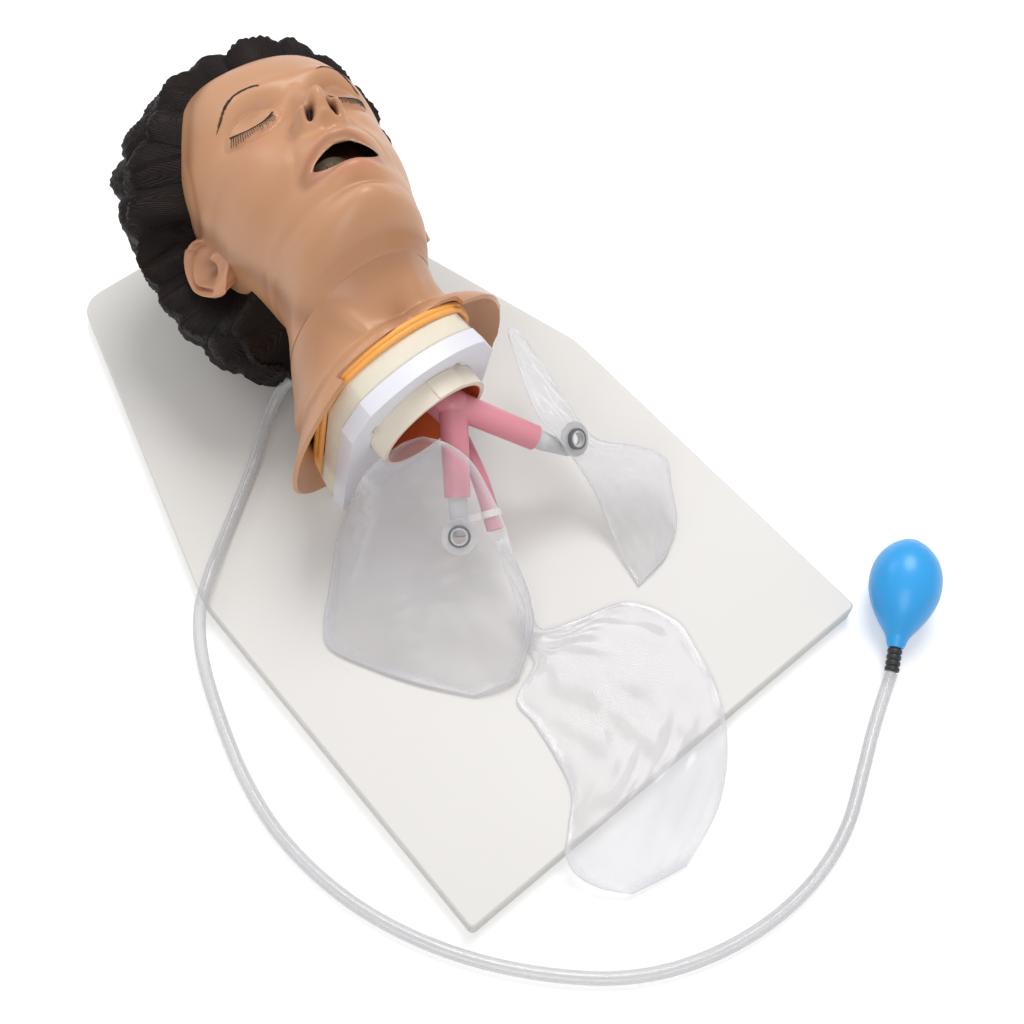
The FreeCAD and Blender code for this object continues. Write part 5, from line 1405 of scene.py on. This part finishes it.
class TRAINER_OT_stage(bpy.types.Operator):
    """Add the floor, the lamps, the surround and the camera"""

    bl_idname = "trainer.stage"
    bl_label = "Stage"

    def execute(self, context):
        scene = context.scene
        scene.view_settings.view_transform = "Standard"
        deselect()
        bpy.ops.mesh.primitive_plane_add(size=8.0)
        floor = context.object
        floor.name = "studio_floor"
        made, nodes, links, shader = new_material("studio_white", (0.86, 0.86, 0.86), 0.9)
        path = nodes.new("ShaderNodeLightPath")
        rays = path.outputs
        seen = calculate(nodes, links, "MAXIMUM", rays["Is Camera Ray"], rays["Is Glossy Ray"])
        seen = calculate(nodes, links, "MAXIMUM", seen, rays["Is Transmission Ray"])
        shader.inputs["Emission Color"].default_value = (1.0, 1.0, 1.0, 1.0)
        glow = calculate(nodes, links, "MULTIPLY", seen, FLOOR_GLOW)
        links.new(glow, shader.inputs["Emission Strength"])
        dress(floor, made)
        self.light(scene)
        self.aim_camera(scene)
        return {"FINISHED"}

    def light(self, scene):
        lamps = (
            ("key", (0.9, 0.5, 2.2), 1.3, 30.0, (0.0, 0.0, 0.1)),
            ("fill", (-1.3, -1.2, 1.7), 1.4, 13.0, (0.0, 0.0, 0.1)),
            ("back", (-0.4, 1.8, 1.4), 1.0, 6.0, (0.0, 0.1, 0.1)),
        )
        for name, place, size, power, aim in lamps:
            data = bpy.data.lights.new(name, "AREA")
            data.shape = "DISK"
            data.size = size
            data.energy = power
            lamp = bpy.data.objects.new(name, data)
            scene.collection.objects.link(lamp)
            lamp.location = place
            lamp.rotation_euler = (Vector(aim) - Vector(place)).to_track_quat("-Z", "Y").to_euler()
        world = bpy.data.worlds.new("studio")
        scene.world = world
        world.use_nodes = True
        nodes, links = world.node_tree.nodes, world.node_tree.links
        sky = nodes["Background"]
        sky.inputs["Color"].default_value = (1.0, 1.0, 1.0, 1.0)
        path = nodes.new("ShaderNodeLightPath")
        level = nodes.new("ShaderNodeMapRange")
        level.inputs["To Min"].default_value = 0.52
        level.inputs["To Max"].default_value = 1.0
        links.new(path.outputs["Is Camera Ray"], level.inputs["Value"])
        links.new(level.outputs["Result"], sky.inputs["Strength"])

    def aim_camera(self, scene):
        data = bpy.data.cameras.new("view")
        data.lens = LENS
        data.sensor_width = SENSOR_WIDTH
        data.clip_end = 20.0
        camera = bpy.data.objects.new("view", data)
        scene.collection.objects.link(camera)
        back = CAMERA_BACK.normalized()
        right = CAMERA_RIGHT.normalized()
        up = back.cross(right)
        rolled_right = right * math.cos(CAMERA_ROLL) + up * math.sin(CAMERA_ROLL)
        rolled_up = up * math.cos(CAMERA_ROLL) - right * math.sin(CAMERA_ROLL)
        matrix = camera.matrix_world.copy()
        for k, axis in enumerate((rolled_right, rolled_up, back)):
            for j in range(3):
                matrix[j][k] = axis[j]
        matrix.translation = CAMERA_PLACE
        camera.matrix_world = matrix
        scene.camera = camera


class TRAINER_OT_pulse_line(bpy.types.Operator):
    """Add the pulse tube, its ribbed connector and the squeeze bulb"""

    bl_idname = "trainer.pulse_line"
    bl_label = "Pulse line"

    def execute(self, context):
        bulb, connector = add_bulb(context.scene.trainer_colours)
        add_tube(context.scene.trainer_sizes)
        dress_node("tube_grommet", grained(
            "grommet_grey", (0.35, 0.36, 0.38), (0.28, 0.29, 0.31), rough=(0.4, 0.5), drift=60.0)[0])
        dress_node("pulse_bladder", grained(
            "bladder_white", (0.72, 0.70, 0.66), (0.64, 0.62, 0.58), rough=(0.4, 0.55), drift=40.0)[0])
        return {"FINISHED"}


class TRAINER_OT_board(bpy.types.Operator):
    """Finish the board, the neck plate and its screws"""

    bl_idname = "trainer.board"
    bl_label = "Board and plate"

    def execute(self, context):
        colours = context.scene.trainer_colours
        board = tuple(colours.board)
        made, nodes, links, shader = grained(
            "board_white", board, tuple(v * 0.96 for v in board), rough=(0.38, 0.5), drift=5.0,
            grain_scale=700.0, grain=0.5, bump=0.12)
        core = height_mask(nodes, links, "Z", LAMINATE_LOW, BOARD_CORE_TOP)
        tint(nodes, links, shader, core, (0.66, 0.64, 0.60))
        dress_node("base_board", made)
        plate = tuple(colours.plate)
        dress_node("neck_plate", grained(
            "plate_white", plate, tuple(v * 0.95 for v in plate), rough=(0.36, 0.48), drift=9.0,
            grain_scale=1300.0, grain=0.4, bump=0.15)[0])
        dress_node("plate_screws", grained(
            "steel", (0.55, 0.55, 0.56), (0.46, 0.46, 0.48), rough=(0.25, 0.4), drift=90.0, metallic=1.0)[0])
        return {"FINISHED"}


def rim_line(grow, out):
    """Half way round the arched outline of the plate and back down, open at the board."""
    half, shoulder, top = 60.0 + grow, 125.0, 168.0 + grow
    chamfer_half, chamfer_top = 47.0 + grow, 152.0
    side = [(-half, high) for high in (6.0, 30.0, 60.0, 90.0, shoulder - 8.0)]
    corner = [(-half + 0.6, shoulder), (-(half + chamfer_half) / 2, (shoulder + chamfer_top) / 2)]
    arch = [(-chamfer_half, chamfer_top), (-chamfer_half * 0.62, top - 6.5), (-chamfer_half * 0.3, top - 1.5)]
    left = side + corner + arch
    line = left + [(0.0, top)] + [(-x, high) for x, high in reversed(left)]
    return [plate_point(x, high, out) for x, high in line]


def add_gasket(colours):
    """The orange rim, moulded as two fat beads side by side."""
    lines = [rim_line(0.6, COLLAR_BACK - 0.2), rim_line(1.6, COLLAR_BACK - 3.4)]
    bead = strokes("gasket_beads", lines, 2.3, resolution=5, taper=(1.0, 1.0))
    smooth(bead)
    gasket = tuple(colours.gasket)
    made = grained(
        "gasket_orange", gasket, (0.95, 0.50, 0.12), rough=(0.35, 0.5), drift=30.0, grain_scale=900.0)[0]
    finish_piece(bead, "base", "gasket_orange", made, "neck_gasket")


def add_collar(colours):
    """The foam collar, with the rounded edges of a cut and pressed foam."""
    node = NODES["neck_collar"]
    collar = bpy.data.objects.new("collar_foam_pad", node.data.copy())
    bpy.context.scene.collection.objects.link(collar)
    merge_and_turn_out(collar)
    apply_modifier(
        collar, "BEVEL", width=2.6 * MM, segments=4, limit_method="ANGLE", angle_limit=math.radians(40))
    smooth(collar, 50)
    foam = tuple(colours.collar)
    made = grained(
        "collar_foam", foam, tuple(v * 0.88 for v in foam), rough=(0.6, 0.8), drift=70.0,
        grain_scale=500.0, grain=1.0, bump=0.4)[0]
    finish_piece(collar, "base", "collar_foam", made, "neck_collar")


class TRAINER_OT_collar(bpy.types.Operator):
    """Add the foam collar and the orange gasket, and finish the sleeve"""

    bl_idname = "trainer.collar"
    bl_label = "Collar and sleeve"

    def execute(self, context):
        colours = context.scene.trainer_colours
        add_collar(colours)
        add_gasket(colours)
        sleeve = tuple(colours.sleeve)
        made, nodes, links, shader = grained(
            "sleeve_white", sleeve, tuple(v * 0.93 for v in sleeve), rough=(0.36, 0.5), drift=20.0,
            grain_scale=1100.0)
        # painted shade: the inside of the sleeve's bore is coloured orange-red as the shadow in it
        middle = plate_point(0, SLEEVE_HEIGHT, 0)
        inner = axis_mask(nodes, links, middle, PLATE_OUT, *SLEEVE_INSIDE)
        tint(nodes, links, shader, inner, (0.62, 0.12, 0.03))
        dress_node("airway_sleeve", made)
        return {"FINISHED"}


class TRAINER_OT_head(bpy.types.Operator):
    """Add the face, the ears and the neck, and the lashes and brows"""

    bl_idname = "trainer.head"
    bl_label = "Head and neck"

    def execute(self, context):
        face = add_face(context.scene.trainer_colours)
        add_neck()
        add_eyes(face, context.scene.trainer_sizes)
        return {"FINISHED"}


class TRAINER_OT_hair(bpy.types.Operator):
    """Add the moulded hair"""

    bl_idname = "trainer.hair"
    bl_label = "Hair"

    def execute(self, context):
        add_hair(context.scene.trainer_colours, context.scene.trainer_sizes)
        return {"FINISHED"}


class TRAINER_OT_mouth(bpy.types.Operator):
    """Add the tongue and throat, and finish the teeth, palate, jaw and core"""

    bl_idname = "trainer.mouth"
    bl_label = "Mouth"

    def execute(self, context):
        add_tongue()
        add_pharynx()
        made, _, _, shader = grained(
            "tooth_ivory", (0.80, 0.68, 0.50), (0.70, 0.56, 0.38), rough=(0.16, 0.28), drift=120.0,
            grain_scale=1500.0)
        shader.inputs["Coat Weight"].default_value = 0.5
        dress_node("upper_teeth", made)
        dress_node("lower_teeth", made)
        dress_node("palate", MADE["mouth_red"])
        dress_node("jaw", grained(
            "jaw_plastic", (0.60, 0.56, 0.50), (0.52, 0.48, 0.42), rough=(0.4, 0.55), drift=30.0)[0])
        # painted shade: the core, seen only through the mouth, is coloured dark red-brown as the shade inside
        # the mouth
        dress_node("head_core", grained(
            "core_plastic", (0.13, 0.045, 0.03), (0.09, 0.03, 0.02), rough=(0.5, 0.65), drift=20.0)[0])
        dress_node("jaw_pins", MADE["steel"])
        return {"FINISHED"}


class TRAINER_OT_airway(bpy.types.Operator):
    """Finish the windpipe, the gullet, its clip and the lung fittings"""

    bl_idname = "trainer.airway"
    bl_label = "Airway"

    def execute(self, context):
        pink = tuple(context.scene.trainer_colours.airway)
        made, _, _, shader = grained(
            "airway_pink", pink, tuple(v * 0.86 for v in pink), rough=(0.34, 0.46), drift=26.0,
            grain_scale=900.0, grain=0.5, bump=0.2)
        shader.inputs["Coat Weight"].default_value = 0.15
        for name in ("trachea_and_bronchi", "larynx", "epiglottis"):
            dress_node(name, made)
        rose = tuple(v * w for v, w in zip(pink, (0.9, 0.95, 0.95)))
        dress_node("esophagus", grained(
            "esophagus_rose", rose, tuple(v * 0.8 for v in rose), rough=(0.34, 0.46), drift=40.0)[0])
        dress_node("esophagus_clip", grained(
            "clip_white", (0.80, 0.78, 0.74), (0.74, 0.72, 0.68), rough=(0.35, 0.5), drift=60.0)[0])
        made, _, _, shader = grained(
            "fitting_frost", (0.72, 0.72, 0.72), (0.62, 0.62, 0.63), rough=(0.4, 0.55), drift=60.0)
        shader.inputs["Alpha"].default_value = 0.85
        for name in ("bronchus_fitting_left", "bronchus_fitting_right"):
            dress_node(name, made)
        made = clear_film(
            "port_clear", (0.62, 0.62, 0.64), 0.42, 0.56, 0.15, edge=0.5, ripple=120.0,
            ripple_strength=0.08)[0]
        for name in ("lung_port_left", "lung_port_right"):
            dress_node(name, made)
        made = grained("ring_grey", (0.16, 0.16, 0.17), (0.11, 0.11, 0.12), rough=(0.35, 0.5), drift=90.0)[0]
        for name in ("port_ring_left", "port_ring_right"):
            dress_node(name, made)
        return {"FINISHED"}


class TRAINER_OT_lungs(bpy.types.Operator):
    """Add the two film lungs"""

    bl_idname = "trainer.lungs"
    bl_label = "Lungs"

    def execute(self, context):
        made = film_material(context.scene.trainer_colours)
        right = film_sheet("right_lung_film", RIGHT_LUNG_ROWS, 18, 26, 0.9, 3, 0.6, PORTS["right"])
        finish_piece(right, "base", "bag_film", made, "lung_right")
        left = film_sheet("left_lung_film", LEFT_LUNG_ROWS, 16, 24, 0.9, 5, 0.6, PORTS["left"])
        finish_piece(left, "base", "bag_film", made, "lung_left")
        return {"FINISHED"}


class TRAINER_OT_stomach(bpy.types.Operator):
    """Add the film stomach bag"""

    bl_idname = "trainer.stomach"
    bl_label = "Stomach"

    def execute(self, context):
        bag = film_sheet("stomach_film", STOMACH_ROWS, 14, 44, 0.8, 9, 0.5)
        finish_piece(bag, "base", "bag_film", MADE["bag_film"], "stomach_bag")
        return {"FINISHED"}


OPERATORS = (
    TRAINER_OT_stage, TRAINER_OT_pulse_line, TRAINER_OT_board, TRAINER_OT_collar, TRAINER_OT_head,
    TRAINER_OT_hair, TRAINER_OT_mouth, TRAINER_OT_airway, TRAINER_OT_lungs, TRAINER_OT_stomach,
)


class TRAINER_PT_panel(bpy.types.Panel):
    """The trainer's pieces, finishes and sizes"""

    bl_idname = "TRAINER_PT_panel"
    bl_label = "Airway trainer"
    bl_space_type = "VIEW_3D"
    bl_region_type = "UI"
    bl_category = "Airway trainer"

    def draw(self, context):
        layout = self.layout
        for group in (context.scene.trainer_colours, context.scene.trainer_sizes):
            box = layout.box()
            for name in group.__annotations__:
                box.prop(group, name)
        for operator in OPERATORS:
            layout.operator(operator.bl_idname)


CLASSES = (TrainerColours, TrainerSizes, *OPERATORS, TRAINER_PT_panel)


def register():
    for made in CLASSES:
        bpy.utils.register_class(made)
    bpy.types.Scene.trainer_colours = bpy.props.PointerProperty(type=TrainerColours)
    bpy.types.Scene.trainer_sizes = bpy.props.PointerProperty(type=TrainerSizes)


def unregister():
    del bpy.types.Scene.trainer_sizes
    del bpy.types.Scene.trainer_colours
    for made in reversed(CLASSES):
        bpy.utils.unregister_class(made)


def main():
    register()
    bpy.ops.trainer.stage()
    bpy.ops.trainer.pulse_line()
    bpy.ops.trainer.board()
    bpy.ops.trainer.collar()
    bpy.ops.trainer.head()
    bpy.ops.trainer.hair()
    bpy.ops.trainer.mouth()
    bpy.ops.trainer.airway()
    bpy.ops.trainer.lungs()
    bpy.ops.trainer.stomach()


if __name__ == "__main__":
    main()
